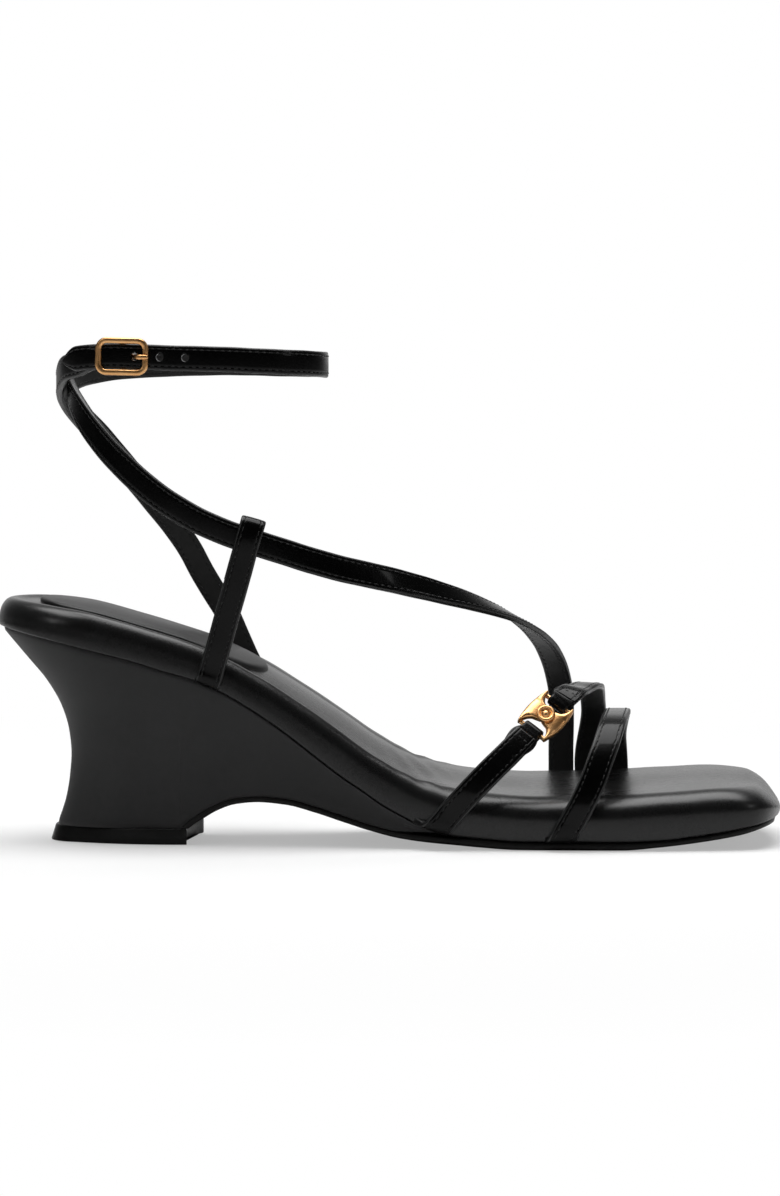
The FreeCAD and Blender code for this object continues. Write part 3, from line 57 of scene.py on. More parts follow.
# across the toes, from the outer side to the inner side
TOE_STRAP = [
    (131.73, -30.7, 3.45, 122.8, -30.7, 3.45, 0, 0, -1),
    (134.23, -35.2, 3.45, 125.3, -35.2, 3.45, 0, 0, -1),
    (135.9, -38.2, 3.45, 126.96, -38.2, 3.45, 0, 0, -1),
    (136.28, -38.85, 3.62, 127.34, -38.85, 3.62, 0, -0.5, -0.866),
    (136.66, -39.33, 4.1, 127.72, -39.33, 4.1, 0, -0.866, -0.5),
    (137.03, -39.5, 4.75, 128.1, -39.5, 4.75, 0, -1, 0),
    (137.9, -39.5, 6.3, 131.08, -39.5, 10.09, -0.002, -1, -0.004),
    (141.59, -39.75, 12.97, 134.63, -39.32, 16.47, -0.016, -0.996, 0.092),
    (144.81, -38.8, 20.01, 137.59, -37.97, 22.84, 0.001, -0.959, 0.284),
    (147.43, -36.21, 26.83, 140.02, -35.03, 28.96, 0.016, -0.85, 0.526),
    (149.6, -31.6, 32.66, 142.05, -30.23, 34.08, 0.029, -0.634, 0.772),
    (151.26, -25.17, 36.48, 143.59, -23.94, 37.21, 0.037, -0.335, 0.941),
    (152.34, -17.68, 37.99, 144.6, -16.79, 38.29, 0.026, -0.107, 0.994),
    (153.08, -10.04, 38.35, 145.31, -9.39, 38.45, 0.012, -0.008, 1),
    (153.62, -2.54, 38.24, 145.83, -2.05, 38.25, 0.004, 0.043, 0.999),
    (154.02, 4.94, 37.78, 146.22, 5.3, 37.73, -0.001, 0.088, 0.996),
    (154.31, 12.42, 36.97, 146.52, 12.67, 36.9, -0.004, 0.137, 0.991),
    (154.52, 19.88, 35.73, 146.72, 19.98, 35.68, -0.003, 0.219, 0.976),
    (154.53, 27.16, 33.63, 146.73, 27.07, 33.7, 0.004, 0.362, 0.932),
    (154.3, 33.82, 30.29, 146.5, 33.8, 30.32, 0.002, 0.567, 0.824),
    (154.45, 39.3, 25.4, 146.66, 39.42, 25.06, -0.013, 0.808, 0.59),
    (154.96, 42.41, 18.64, 147.16, 42.44, 18.4, -0.002, 0.978, 0.209),
    (154.9, 42.4, 10.97, 147.1, 42.4, 11.03, 0, 1, -0.003),
    (154.85, 42.4, 4.9, 147.05, 42.4, 4.75, 0, 1, 0),
    (154.85, 42.23, 4.25, 147.04, 42.23, 4.1, 0, 0.866, -0.5),
    (154.84, 41.75, 3.77, 147.04, 41.75, 3.62, 0, 0.5, -0.866),
    (154.84, 41.1, 3.6, 147.03, 41.1, 3.45, 0, 0, -1),
    (154.81, 38.1, 3.59, 147.01, 38.1, 3.45, 0, 0, -1),
    (154.78, 33.6, 3.59, 146.97, 33.6, 3.45, 0, 0, -1),
]

# inner side, over the instep, round the back of the heel, then forward to the ankle's front
INSTEP_STRAP = [
    (129.83, 33.6, 3.45, 137.63, 33.6, 3.45, 0, 0, -1),
    (129.9, 38.1, 3.45, 137.7, 38.1, 3.45, 0, 0, -1),
    (129.95, 41.1, 3.45, 137.75, 41.1, 3.45, 0, 0, -1),
    (129.96, 41.75, 3.62, 137.76, 41.75, 3.62, 0, 0.5, -0.866),
    (129.97, 42.23, 4.1, 137.77, 42.23, 4.1, 0, 0.866, -0.5),
    (129.98, 42.4, 4.75, 137.78, 42.4, 4.75, 0, 1, 0),
    (130.1, 42.4, 12.06, 137.9, 42.4, 11.94, 0, 1, -0.021),
    (130.21, 42.6, 18.98, 138.01, 42.5, 18.86, 0.013, 1, -0.024),
    (130.33, 42.87, 25.89, 138.12, 42.59, 25.79, 0.036, 0.999, 0.016),
    (130.39, 42.6, 32.74, 138.17, 42.02, 32.78, 0.073, 0.986, 0.152),
    (130.15, 41.19, 39.31, 137.86, 40.09, 39.65, 0.117, 0.928, 0.354),
    (129.25, 38.5, 45.37, 136.81, 36.64, 45.87, 0.163, 0.813, 0.558),
    (127.79, 34.62, 50.77, 135.14, 32.03, 50.98, 0.21, 0.657, 0.724),
    (125.9, 29.78, 55.32, 133.04, 26.67, 54.97, 0.255, 0.491, 0.833),
    (123.71, 24.34, 59, 130.64, 20.89, 58, 0.302, 0.349, 0.887),
    (121.33, 18.64, 62.08, 127.99, 14.92, 60.47, 0.355, 0.244, 0.903),
    (118.76, 12.95, 64.83, 125.06, 8.9, 62.64, 0.412, 0.158, 0.897),
    (115.94, 7.38, 67.38, 121.71, 2.91, 64.63, 0.471, 0.066, 0.88),
    (112.76, 2.09, 69.84, 117.74, -2.87, 66.48, 0.522, -0.051, 0.851),
    (109.04, -2.81, 72.17, 113, -8.17, 68.14, 0.554, -0.199, 0.809),
    (104.71, -7.3, 74.4, 107.56, -12.78, 69.65, 0.563, -0.354, 0.746),
    (99.89, -11.39, 76.57, 101.64, -16.68, 71.12, 0.553, -0.502, 0.665),
    (94.66, -15.04, 78.7, 95.39, -19.88, 72.63, 0.52, -0.636, 0.57),
    (89.02, -18.27, 80.77, 89, -22.46, 74.19, 0.469, -0.746, 0.473),
    (83.03, -21.21, 82.67, 82.57, -24.64, 75.68, 0.418, -0.826, 0.379),
    (76.86, -23.89, 84.33, 76.03, -26.6, 77.07, 0.367, -0.885, 0.288),
    (70.67, -26.21, 85.95, 69.33, -28.25, 78.54, 0.305, -0.931, 0.202),
    (64.4, -28.05, 87.73, 62.58, -29.51, 80.29, 0.235, -0.963, 0.13),
    (58.01, -29.44, 89.7, 55.87, -30.4, 82.26, 0.171, -0.982, 0.076),
    (51.54, -30.47, 91.76, 49.22, -31.02, 84.33, 0.115, -0.993, 0.037),
    (45.04, -31.17, 93.88, 42.6, -31.41, 86.47, 0.065, -0.998, 0.011),
    (38.55, -31.56, 96.07, 35.96, -31.56, 88.71, 0.017, -1, -0.006),
    (32.18, -31.63, 98.39, 29.3, -31.44, 91.15, -0.034, -0.999, -0.013),
    (26.08, -31.38, 101.03, 22.72, -31, 94, -0.09, -0.996, -0.011),
    (20.27, -30.77, 104.14, 16.37, -30.18, 97.41, -0.149, -0.989, -0.001),
    (14.77, -29.86, 107.72, 10.4, -28.98, 101.33, -0.209, -0.978, 0.009),
    (9.57, -28.65, 111.75, 4.88, -27.41, 105.64, -0.28, -0.96, 0.02),
    (4.63, -27.07, 116.09, -0.16, -25.35, 110.18, -0.372, -0.928, 0.031),
    (-0.06, -25.04, 120.6, -4.75, -22.69, 114.83, -0.485, -0.874, 0.038),
    (-4.39, -22.47, 125.3, -8.72, -19.39, 119.59, -0.621, -0.783, 0.047),
    (-8.35, -19.04, 130.11, -11.79, -15.4, 124.13, -0.773, -0.631, 0.061),
    (-11.75, -14.26, 134.52, -13.9, -10.54, 128, -0.9, -0.433, 0.05),
    (-14.3, -8.26, 138.21, -15.14, -5.06, 131.15, -0.973, -0.229, 0.013),
    (-15.64, -1.34, 140.83, -15.56, 0.86, 133.35, -0.999, -0.045, -0.023),
    (-15.66, 5.85, 142.39, -15.16, 7.22, 134.73, -0.991, 0.129, -0.041),
    (-14.33, 12.76, 143.48, -13.58, 13.7, 135.77, -0.928, 0.37, -0.046),
    (-10.96, 18.84, 144.43, -9.99, 19.47, 136.72, -0.718, 0.695, -0.033),
    (-5.17, 22.7, 145.43, -4.28, 23.01, 137.68, -0.415, 0.91, -0.012),
    (1.62, 24.79, 146.12, 2.22, 24.89, 138.34, -0.217, 0.976, -0.004),
    (8.56, 25.85, 146.52, 8.94, 25.87, 138.72, -0.105, 0.994, -0.002),
    (15.53, 26.3, 146.8, 15.79, 26.3, 139.01, -0.025, 1, -0.001),
    (22.51, 26.21, 146.99, 22.66, 26.2, 139.19, 0.052, 0.999, 0),
    (29.46, 25.58, 147.06, 29.49, 25.58, 139.26, 0.131, 0.991, 0),
    (36.33, 24.39, 147.05, 36.29, 24.4, 139.25, 0.218, 0.976, 0),
    (43.08, 22.54, 146.99, 43.01, 22.56, 139.19, 0.342, 0.94, 0),
    (49.36, 19.65, 146.92, 49.32, 19.67, 139.12, 0.531, 0.847, 0),
    (54.69, 15.25, 146.9, 54.7, 15.24, 139.1, 0.74, 0.672, 0),
    (58.56, 9.52, 146.94, 58.6, 9.46, 139.14, 0.899, 0.437, 0.001),
    (60.69, 2.95, 147.03, 60.71, 2.84, 139.23, 0.979, 0.204, 0.001),
    (61.39, -3.94, 147.13, 61.39, -4.06, 139.33, 0.995, 0.1, -0.002),
]

# carries on from the last row above, back along the outer side to the pointed tip
STRAP_TAIL = [
    (61.11, -9.87, 147.15, 61.04, -10.13, 139.65, 0.988, -0.152, -0.003),
    (59.79, -15.29, 147.4, 59.59, -15.64, 139.91, 0.928, -0.372, -0.007),
    (57.07, -20.25, 147.73, 56.74, -20.57, 140.25, 0.798, -0.603, -0.008),
    (53.11, -24.33, 148.08, 52.73, -24.56, 140.59, 0.618, -0.786, -0.007),
    (48.27, -27.28, 148.4, 47.9, -27.42, 140.91, 0.425, -0.905, -0.004),
    (42.91, -29.18, 148.67, 42.58, -29.26, 141.18, 0.272, -0.962, -0.003),
    (37.35, -30.42, 148.92, 37.04, -30.46, 141.42, 0.179, -0.984, -0.002),
    (31.74, -31.24, 149.14, 31.46, -31.26, 141.65, 0.115, -0.993, -0.002),
    (26.12, -31.73, 149.35, 25.85, -31.74, 141.85, 0.06, -0.998, -0.001),
    (20.46, -31.93, 149.54, 20.22, -31.93, 142.05, 0.015, -1, -0.001),
    (14.8, -31.91, 149.71, 14.59, -31.9, 142.22, -0.022, -1, 0),
    (9.16, -31.7, 149.86, 8.94, -31.68, 142.36, -0.065, -0.998, 0),
    (3.51, -31.19, 150.04, 3.34, -31.16, 142.54, -0.091, -0.996, -0.001),
    (-2.24, -30.65, 150.13, -2.15, -30.67, 142.63, -0.151, -0.988, 0.001),
    (-8, -29.36, 149.88, -7.46, -29.58, 142.4, -0.381, -0.925, -0.001),
    (-12.81, -26.19, 149.24, -12.03, -26.7, 141.8, -0.676, -0.737, -0.02),
    (-16.17, -21.64, 148.5, -15.49, -22.36, 141.06, -0.793, -0.609, -0.014),
]

# inner side, up and round the back of the heel to the buckle on the outer side
BUCKLE_STRAP = [
    (41.25, 15.2, 41.06, 53.77, 15.2, 31.98, 0, 0, -1),
    (39.02, 19.7, 42.59, 51.54, 19.7, 33.72, 0, 0, -1),
    (37.53, 22.7, 43.46, 50.06, 22.7, 34.88, 0, 0, -1),
    (37.2, 23.35, 43.83, 49.72, 23.35, 35.32, 0, 0.5, -0.866),
    (36.86, 23.83, 44.51, 49.38, 23.83, 36.06, 0, 0.866, -0.5),
    (36.52, 24, 45.35, 49.05, 24, 36.97, 0, 1, 0),
    (35.54, 24, 47.34, 42.26, 24, 50.66, -0.004, 1, 0.008),
    (32.51, 23.94, 53.45, 39.3, 23.94, 56.63, 0.009, 1, -0.019),
    (29.78, 24.28, 59.63, 36.59, 24.28, 62.78, 0.031, 0.997, -0.068),
    (26.98, 24.94, 65.44, 33.56, 24.95, 69.04, 0.047, 0.995, -0.087),
    (23.54, 25.6, 71.01, 29.96, 25.63, 74.89, 0.046, 0.995, -0.084),
    (20.06, 26.19, 76.88, 26.59, 26.28, 80.57, 0.029, 0.997, -0.077),
    (16.9, 26.62, 82.74, 23.36, 26.82, 86.55, 0.005, 0.998, -0.062),
    (13.41, 26.82, 88.15, 19.55, 27.17, 92.44, -0.026, 0.999, -0.044),
    (9.44, 26.73, 93.38, 15.35, 27.28, 97.97, -0.07, 0.997, -0.029),
    (5.32, 26.3, 98.6, 11.09, 27.14, 103.31, -0.127, 0.992, -0.019),
    (1.15, 25.52, 103.77, 6.8, 26.73, 108.56, -0.199, 0.98, -0.014),
    (-2.99, 24.29, 108.9, 2.46, 26, 113.76, -0.297, 0.955, -0.003),
    (-6.92, 22.41, 113.95, -1.81, 24.73, 118.93, -0.424, 0.905, 0.014),
    (-10.5, 19.78, 118.74, -6.08, 22.67, 124.06, -0.562, 0.827, 0.018),
    (-13.91, 16.4, 123.05, -10.46, 19.69, 128.84, -0.703, 0.711, 0.014),
    (-16.76, 12.1, 126.85, -14.41, 15.57, 133.06, -0.853, 0.52, 0.033),
    (-18.38, 6.81, 130.1, -17.13, 10.08, 136.73, -0.959, 0.281, 0.041),
    (-18.86, 0.92, 132.73, -18.52, 3.73, 139.67, -0.997, 0.072, 0.021),
    (-18.37, -5.28, 134.97, -18.71, -2.74, 142.02, -0.995, -0.103, -0.011),
    (-16.95, -11.34, 137.23, -17.92, -9.14, 144.34, -0.962, -0.271, -0.048),
    (-14.66, -17.08, 139.14, -15.88, -15.69, 146.41, -0.878, -0.474, -0.057),
    (-10.67, -22.18, 140.35, -12.24, -21.2, 147.62, -0.788, -0.61, -0.088),
    (-6.7, -27.2, 142.22, -8.17, -26.74, 149.56, -0.564, -0.823, -0.062),
    (-1.14, -28.74, 142.68, -1.79, -28.69, 150.15, -0.279, -0.96, -0.017),
]

# up the outer side, folded over the instep strap
SIDE_STAY = [
    (27.69, -22.55, 48.81, 20.76, -22.55, 51.53, 0, 0, -1),
    (29.04, -27.05, 48.23, 22.11, -27.05, 51.15, 0, 0, -1),
    (29.94, -30.05, 47.85, 23.01, -30.05, 50.8, 0, 0, -1),
    (30.15, -30.7, 47.94, 23.21, -30.7, 50.89, 0, -0.5, -0.866),
    (30.35, -31.18, 48.32, 23.42, -31.18, 51.27, 0, -0.866, -0.5),
    (30.56, -31.35, 48.85, 23.62, -31.35, 51.84, 0, -1, 0),
    (31.02, -31.35, 50.41, 23.84, -31.35, 52.57, -0.015, -0.999, -0.05),
    (33.14, -31.74, 57.48, 25.93, -31.74, 59.55, -0.016, -0.998, -0.056),
    (35.09, -32.21, 64.58, 27.86, -32.21, 66.57, -0.018, -0.998, -0.068),
    (37.04, -32.76, 71.6, 29.83, -32.77, 73.66, -0.02, -0.997, -0.074),
    (39.11, -33.32, 78.63, 31.9, -33.35, 80.67, -0.015, -0.998, -0.067),
    (41.05, -33.73, 85.73, 33.81, -33.8, 87.71, 0, -0.999, -0.036),
    (43.41, -33.77, 94.27, 36.19, -33.89, 96.31, 0.017, -1, 0),
    (43.72, -33.45, 95.4, 36.51, -33.57, 97.44, 0.151, -0.864, 0.481),
    (43.94, -32.58, 96.22, 36.73, -32.7, 98.27, 0.244, -0.496, 0.833),
    (44.01, -31.41, 96.53, 36.79, -31.53, 98.57, 0.272, 0.005, 0.962),
    (43.9, -30.23, 96.22, 36.69, -30.35, 98.27, 0.227, 0.504, 0.833),
    (43.66, -29.38, 95.4, 36.44, -29.5, 97.44, 0.121, 0.868, 0.481),
    (43.33, -29.07, 94.27, 36.11, -29.19, 96.31, -0.017, 1, 0),
    (41.1, -29.1, 86.38, 33.88, -29.23, 88.42, -0.017, 1, 0),
    (40.52, -30.11, 84.26, 33.3, -30.24, 86.3, -0.017, 1, 0),
    (39.99, -31.32, 82.33, 32.78, -31.45, 84.37, -0.017, 1, 0),
    (38.88, -31.69, 78.39, 31.67, -31.81, 80.43, -0.017, 1, 0),
]

# up the outer side to the link
VAMP_LOWER = [
    (91.42, -27.4, 7.26, 83.05, -27.4, 11.38, 0, 0, -1),
    (95.41, -31.9, 5.76, 87.03, -31.9, 9.28, 0, 0, -1),
    (98.06, -34.9, 5.26, 89.69, -34.9, 7.93, 0, 0, -1),
    (98.66, -35.55, 5.32, 90.29, -35.55, 7.87, 0, -0.5, -0.866),
    (99.27, -36.03, 5.68, 90.89, -36.03, 8.11, 0, -0.866, -0.5),
    (99.87, -36.2, 6.21, 91.5, -36.2, 8.53, 0, -1, 0),
    (100.73, -36.2, 7.19, 94.89, -36.2, 12.36, -0.082, -0.992, -0.092),
    (104.55, -37.06, 11.51, 98.76, -36.78, 16.73, -0.083, -0.996, -0.039),
    (108.44, -37.51, 15.81, 102.76, -36.88, 21.12, -0.042, -0.996, 0.073),
    (112.43, -37.19, 19.98, 106.84, -36.07, 25.31, 0.013, -0.976, 0.218),
    (116.52, -36.14, 24.01, 110.96, -34.39, 29.19, 0.019, -0.941, 0.337),
    (120.69, -34.85, 28.07, 115.02, -32.47, 32.87, 0.013, -0.89, 0.456),
    (124.67, -32.77, 31.94, 118.88, -29.84, 36.27, -0.01, -0.834, 0.551),
]

# from the link over the forefoot to the inner side
VAMP_UPPER = [
    (135.76, -25.23, 42.27, 129.62, -22.64, 46.14, 0.284, -0.525, 0.802),
    (139.17, -20.82, 44.93, 132.34, -18.07, 47.2, 0.208, -0.262, 0.942),
    (141.3, -14.3, 45.58, 134.04, -11.96, 46.64, 0.119, -0.077, 0.99),
    (143.47, -8.27, 46.3, 136.08, -6.16, 46.75, 0.059, -0.008, 0.998),
    (144.95, -1.58, 45.97, 137.36, -0.3, 46.04, 0.024, 0.088, 0.996),
    (145.72, 4.99, 45.39, 138.06, 5.75, 45.33, 0.004, 0.112, 0.994),
    (146.25, 11.38, 44.64, 138.58, 11.98, 44.51, -0.004, 0.15, 0.989),
    (146.74, 17.72, 43.54, 139.06, 18.2, 43.36, -0.009, 0.221, 0.975),
    (147.1, 23.94, 41.87, 139.41, 24.28, 41.65, -0.012, 0.333, 0.943),
    (147.4, 29.84, 39.36, 139.71, 30.11, 39.07, -0.015, 0.488, 0.873),
    (147.73, 35.26, 35.57, 140.03, 35.31, 35.49, -0.004, 0.674, 0.739),
    (147.53, 39.48, 30.3, 139.86, 39.27, 30.98, 0.021, 0.861, 0.508),
    (146.57, 41.76, 24.29, 138.92, 41.63, 25.17, 0.011, 0.969, 0.245),
    (146.07, 42.49, 18.3, 138.37, 42.48, 18.51, 0, 0.998, 0.055),
    (146.25, 42.4, 12.11, 138.55, 42.4, 11.89, 0, 1, -0.014),
    (146.46, 42.4, 4.75, 138.74, 42.4, 4.75, 0, 1, 0),
    (146.48, 42.23, 4.1, 138.76, 42.23, 4.1, 0, 0.866, -0.5),
    (146.5, 41.75, 3.62, 138.78, 41.75, 3.62, 0, 0.5, -0.866),
    (146.51, 41.1, 3.45, 138.8, 41.1, 3.45, 0, 0, -1),
    (146.6, 38.1, 3.45, 138.88, 38.1, 3.45, 0, 0, -1),
    (146.72, 33.6, 3.45, 139.01, 33.6, 3.45, 0, 0, -1),
]

# Hardware axes: origin, then unit vectors along the strap (u), across it (v) and outward (w).
BUCKLE_AXES = np.array((
    (1.78773, -30.46497, 146.33653), (0.99567, -0.08994, -0.02351),
    (0.02335, -0.00281, 0.99972), (-0.08999, -0.99594, -0.00070)))
LINK_AXES = np.array((
    (127.22726, -27.50000, 39.06847), (0.65763, 0.44417, 0.60847),
    (-0.75312, 0.36796, 0.54536), (0.01834, -0.81690, 0.57649)))


# --- curves
def natural(at, values, wanted):
    """Natural cubic spline through rows of values at places `at`, read at `wanted`."""
    n = len(at)
    matrix, right = np.zeros((n, n)), np.zeros(values.shape)
    matrix[0, 0] = matrix[-1, -1] = 1
    for i in range(1, n - 1):
        h0, h1 = at[i] - at[i - 1], at[i + 1] - at[i]
        matrix[i, i - 1:i + 2] = h0, 2 * (h0 + h1), h1
        right[i] = 6 * ((values[i + 1] - values[i]) / h1 - (values[i] - values[i - 1]) / h0)
    bend = np.linalg.solve(matrix, right)
    k = np.clip(np.searchsorted(at, wanted) - 1, 0, n - 2)
    h = (at[k + 1] - at[k])[:, None]
    a = (at[k + 1] - wanted)[:, None] / h
    b = (wanted - at[k])[:, None] / h
    curved = ((a**3 - a) * bend[k] + (b**3 - b) * bend[k + 1]) * h * h / 6
    return a * values[k] + b * values[k + 1] + curved


class Curve:
    """Monotone cubic through points: smooth, with no overshoot."""

    def __init__(self, places, values):
        x, y = np.array(places, float), np.array(values, float)
        h = np.diff(x)
        rise = np.diff(y) / h
        slope = np.zeros(len(x))
        slope[0], slope[-1] = rise[0], rise[-1]
        for i in range(1, len(x) - 1):
            if rise[i - 1] * rise[i] > 0:
                w1, w2 = 2 * h[i] + h[i - 1], h[i] + 2 * h[i - 1]
                slope[i] = (w1 + w2) / (w1 / rise[i - 1] + w2 / rise[i])
        self.x, self.y, self.slope = x, y, slope

    def __call__(self, wanted):
        x, y, slope = self.x, self.y, self.slope
        q = np.clip(np.asarray(wanted, float), x[0], x[-1])
        k = np.clip(np.searchsorted(x, q) - 1, 0, len(x) - 2)
        h = x[k + 1] - x[k]
        t = (q - x[k]) / h
        return (y[k] * (2 * t**3 - 3 * t**2 + 1) + h * slope[k] * (t**3 - 2 * t**2 + t)
                + y[k + 1] * (3 * t**2 - 2 * t**3) + h * slope[k + 1] * (t**3 - t**2))


def smooth01(v):
    v = np.clip(v, 0, 1)
    return v * v * (3 - 2 * v)


def unit(v):
    return v / np.linalg.norm(v, axis=-1, keepdims=True)


def run_length(points):
    """Distance along a line of points, from its first point."""
    return np.r_[0, np.cumsum(np.linalg.norm(np.diff(points, axis=0), axis=1))]


def inward(loop):
    """Unit normals of a closed flat outline, pointing inside."""
    run = np.roll(loop, -1, axis=0) - np.roll(loop, 1, axis=0)
    normal = unit(np.c_[-run[:, 1], run[:, 0]])
    return -normal if ((loop.mean(axis=0) - loop) * normal).sum() < 0 else normal


def soft_ring(n, wide, high, power, power_high=None):
    """n points of a squared-off ellipse; smaller powers give squarer corners."""
    ring = []
    for j in range(n):
        a = 2 * math.pi * j / n
        ring.append((squared(math.cos(a), power) * wide,
                     squared(math.sin(a), power_high or power) * high))
    return ring


def squared(v, power):
    return math.copysign(abs(v) ** power, v)


# --- meshes
def tube(rings, ends="capped"):
    """Vertices and faces through equal rings; ends are "capped", "open" or "joined" in a loop."""
    n, count = len(rings[0]), len(rings)
    faces = []
    for i in range(count if ends == "joined" else count - 1):
        a, b = i * n, (i + 1) % count * n
        for j in range(n):
            k = (j + 1) % n
            faces.append((a + j, a + k, b + k, b + j))
    if ends == "capped":
        faces.append(tuple(range(n))[::-1])
        faces.append(tuple((count - 1) * n + j for j in range(n)))
    return np.concatenate(rings), faces


def joined(parts):
    """Several (vertices, faces) shapes as one."""
    verts, faces, base = [], [], 0
    for part_verts, part_faces in parts:
        verts.append(part_verts)
        faces += [tuple(base + k for k in face) for face in part_faces]
        base += len(part_verts)
    return np.concatenate(verts), faces


def zip_face(start, n, j, back=0):
    """The j-th face of a ring of n points filled from one side to the other."""
    far = n - j - back
    return tuple(dict.fromkeys(start + c for c in (j, j + 1, far - 1, far % n)))


def zipped_tube(rings):
    """Tube with both end rings filled from side to side."""
    verts, faces = tube(rings, "open")
    n = len(rings[0])
    for j in range(n // 2):
        for start in (0, (len(rings) - 1) * n):
            faces.append(zip_face(start, n, j))
    return verts, faces


def make(name, shape, body, materials, indices=None, uvs=None, smooth=True, sharp=None):
    """Add an object; edges bent more than `sharp` degrees are marked sharp."""
    verts, faces = shape
    mesh = bpy.data.meshes.new(name)
    mesh.from_pydata([tuple(v) for v in verts * MM], [], [tuple(int(i) for i in f) for f in faces])
    ob = bpy.data.objects.new(name, mesh)
    bpy.context.scene.collection.objects.link(ob)
    for material in materials:
        mesh.materials.append(material)
    if indices is not None:
        mesh.polygons.foreach_set("material_index", np.asarray(indices, np.int32))
    if uvs is not None:
        layer = mesh.uv_layers.new(name="UVMap")
        corners = np.zeros(len(mesh.loops), np.int32)
        mesh.loops.foreach_get("vertex_index", corners)
        layer.data.foreach_set("uv", np.asarray(uvs, np.float32)[corners].ravel())
    mesh.polygons.foreach_set("use_smooth", np.full(len(mesh.polygons), smooth))
    bm = bmesh.new()
    bm.from_mesh(mesh)
    bmesh.ops.recalc_face_normals(bm, faces=bm.faces)
    if sharp is not None:
        for edge in bm.edges:
            if len(edge.link_faces) == 2 and edge.calc_face_angle(0) > math.radians(sharp):
                edge.smooth = False
    bm.to_mesh(mesh)
    bm.free()
    mesh.update()
    if body:
        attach(ob, body)
    return ob


# --- materials
class Nodes:
    """A node tree with short ways to add nodes; each returns the output that is used."""

    def __init__(self, tree):
        self.tree = tree
        tree.nodes.clear()

    def add(self, kind, inputs=(), **settings):
        node = self.tree.nodes.new(kind)
        for key, value in settings.items():
            setattr(node, key, value)
        for key, value in dict(inputs).items():
            self.feed(node.inputs[key], value)
        return node

    def feed(self, socket, value):
        """Link an output to a socket, or set its value."""
        if isinstance(value, bpy.types.NodeSocket):
            self.tree.links.new(value, socket)
        elif socket.type == "RGBA":
            socket.default_value = (*value, 1)
        else:
            socket.default_value = value

    def coord(self, scale=(1.0, 1.0, 1.0)):
        place = self.add("ShaderNodeTexCoord").outputs["Object"]
        return self.add("ShaderNodeMapping", {"Vector": place, "Scale": scale}).outputs[0]

    def noise(self, place, scale, detail=3.0, rough=0.55, warp=0.0):
        return self.add("ShaderNodeTexNoise", {
            "Vector": place, "Scale": scale, "Detail": detail, "Roughness": rough,
            "Distortion": warp}).outputs[0]

    def cells(self, place, scale):
        return self.add("ShaderNodeTexVoronoi", {"Vector": place, "Scale": scale},
                        feature="DISTANCE_TO_EDGE").outputs["Distance"]

    def remap(self, value, low, high, start=0.0, end=1.0):
        """Turn the span start..end into low..high."""
        inputs = {0: value, 1: start, 2: end, 3: low, 4: high}
        return self.add("ShaderNodeMapRange", inputs).outputs[0]

    def math(self, operation, a, b):
        return self.add("ShaderNodeMath", {0: a, 1: b}, operation=operation).outputs[0]

    def weighted(self, a, share_a, b, share_b):
        return self.math("ADD", self.math("MULTIPLY", a, share_a),
                         self.math("MULTIPLY", b, share_b))

    def mix(self, share, a, b):
        return self.add("ShaderNodeMix", {0: share, 6: a, 7: b}, data_type="RGBA").outputs[2]

    def bump(self, height, strength, depth, below=None):
        inputs = {"Strength": strength, "Distance": depth, "Height": height}
        if below is not None:
            inputs["Normal"] = below
        return self.add("ShaderNodeBump", inputs).outputs[0]

    def worn(self, colour, bright, amount, spread=0.06):
        """Brighten convex edges; spread widens the worn band."""
        point = self.add("ShaderNodeNewGeometry").outputs["Pointiness"]
        edge = self.remap(point, 0.0, 1.0, start=0.5 + spread * 0.3, end=0.5 + spread)
        return self.mix(self.math("MULTIPLY", edge, amount), colour, bright)


class Surface(Nodes):
    """Nodes of one material around a Principled shader."""

    def __init__(self, name):
        self.material = bpy.data.materials.new(name)
        self.material.use_nodes = True
        super().__init__(self.material.node_tree)
        self.output = self.add("ShaderNodeOutputMaterial")
        self.shader = self.add("ShaderNodeBsdfPrincipled")
        self.feed(self.output.inputs[0], self.shader.outputs[0])

    def finish(self, **inputs):
        for key, value in inputs.items():
            self.feed(self.shader.inputs[key.replace("_", " ")], value)
        return self.material


def leather(name, dark, light, rough, grain, grain_depth, crease, crease_scale,
            coat=0.0, coat_rough=0.2, specular=0.5):
    """Leather: rough is (low, high), grain and crease_scale are texture scales, depths in m."""
    mat = Surface(name)
    place = mat.coord()
    mottle = mat.noise(place, 500.0, detail=2.0)
    cells = mat.cells(place, grain)
    fine = mat.noise(place, grain * 2.3, detail=2.0, rough=0.6)
    broad = mat.noise(place, 55.0, detail=4.0)
    fold = mat.noise(place, crease_scale, detail=5.0, rough=0.62, warp=0.6)
    tone = mat.weighted(broad, 0.65, mottle, 0.35)
    colour = mat.mix(mat.remap(tone, 0.0, 1.0, start=0.3, end=0.7), dark, light)
    colour = mat.worn(colour, tuple(min(1.0, c * 2.2 + 0.012) for c in light), amount=0.35)
    roughness = mat.remap(mat.weighted(fine, 0.4, broad, 0.6), *rough, start=0.3, end=0.72)
    normal = mat.bump(fold, strength=0.75, depth=crease)
    pebble = mat.math("MINIMUM", mat.math("MULTIPLY", cells, 9.0), 1.0)
    normal = mat.bump(pebble, strength=0.5, depth=grain_depth, below=normal)
    normal = mat.bump(fine, strength=0.3, depth=grain_depth * 0.6, below=normal)
    return mat.finish(Base_Color=colour, Roughness=roughness, Normal=normal, Coat_Weight=coat,
                      Coat_Roughness=coat_rough, Specular_IOR_Level=specular)


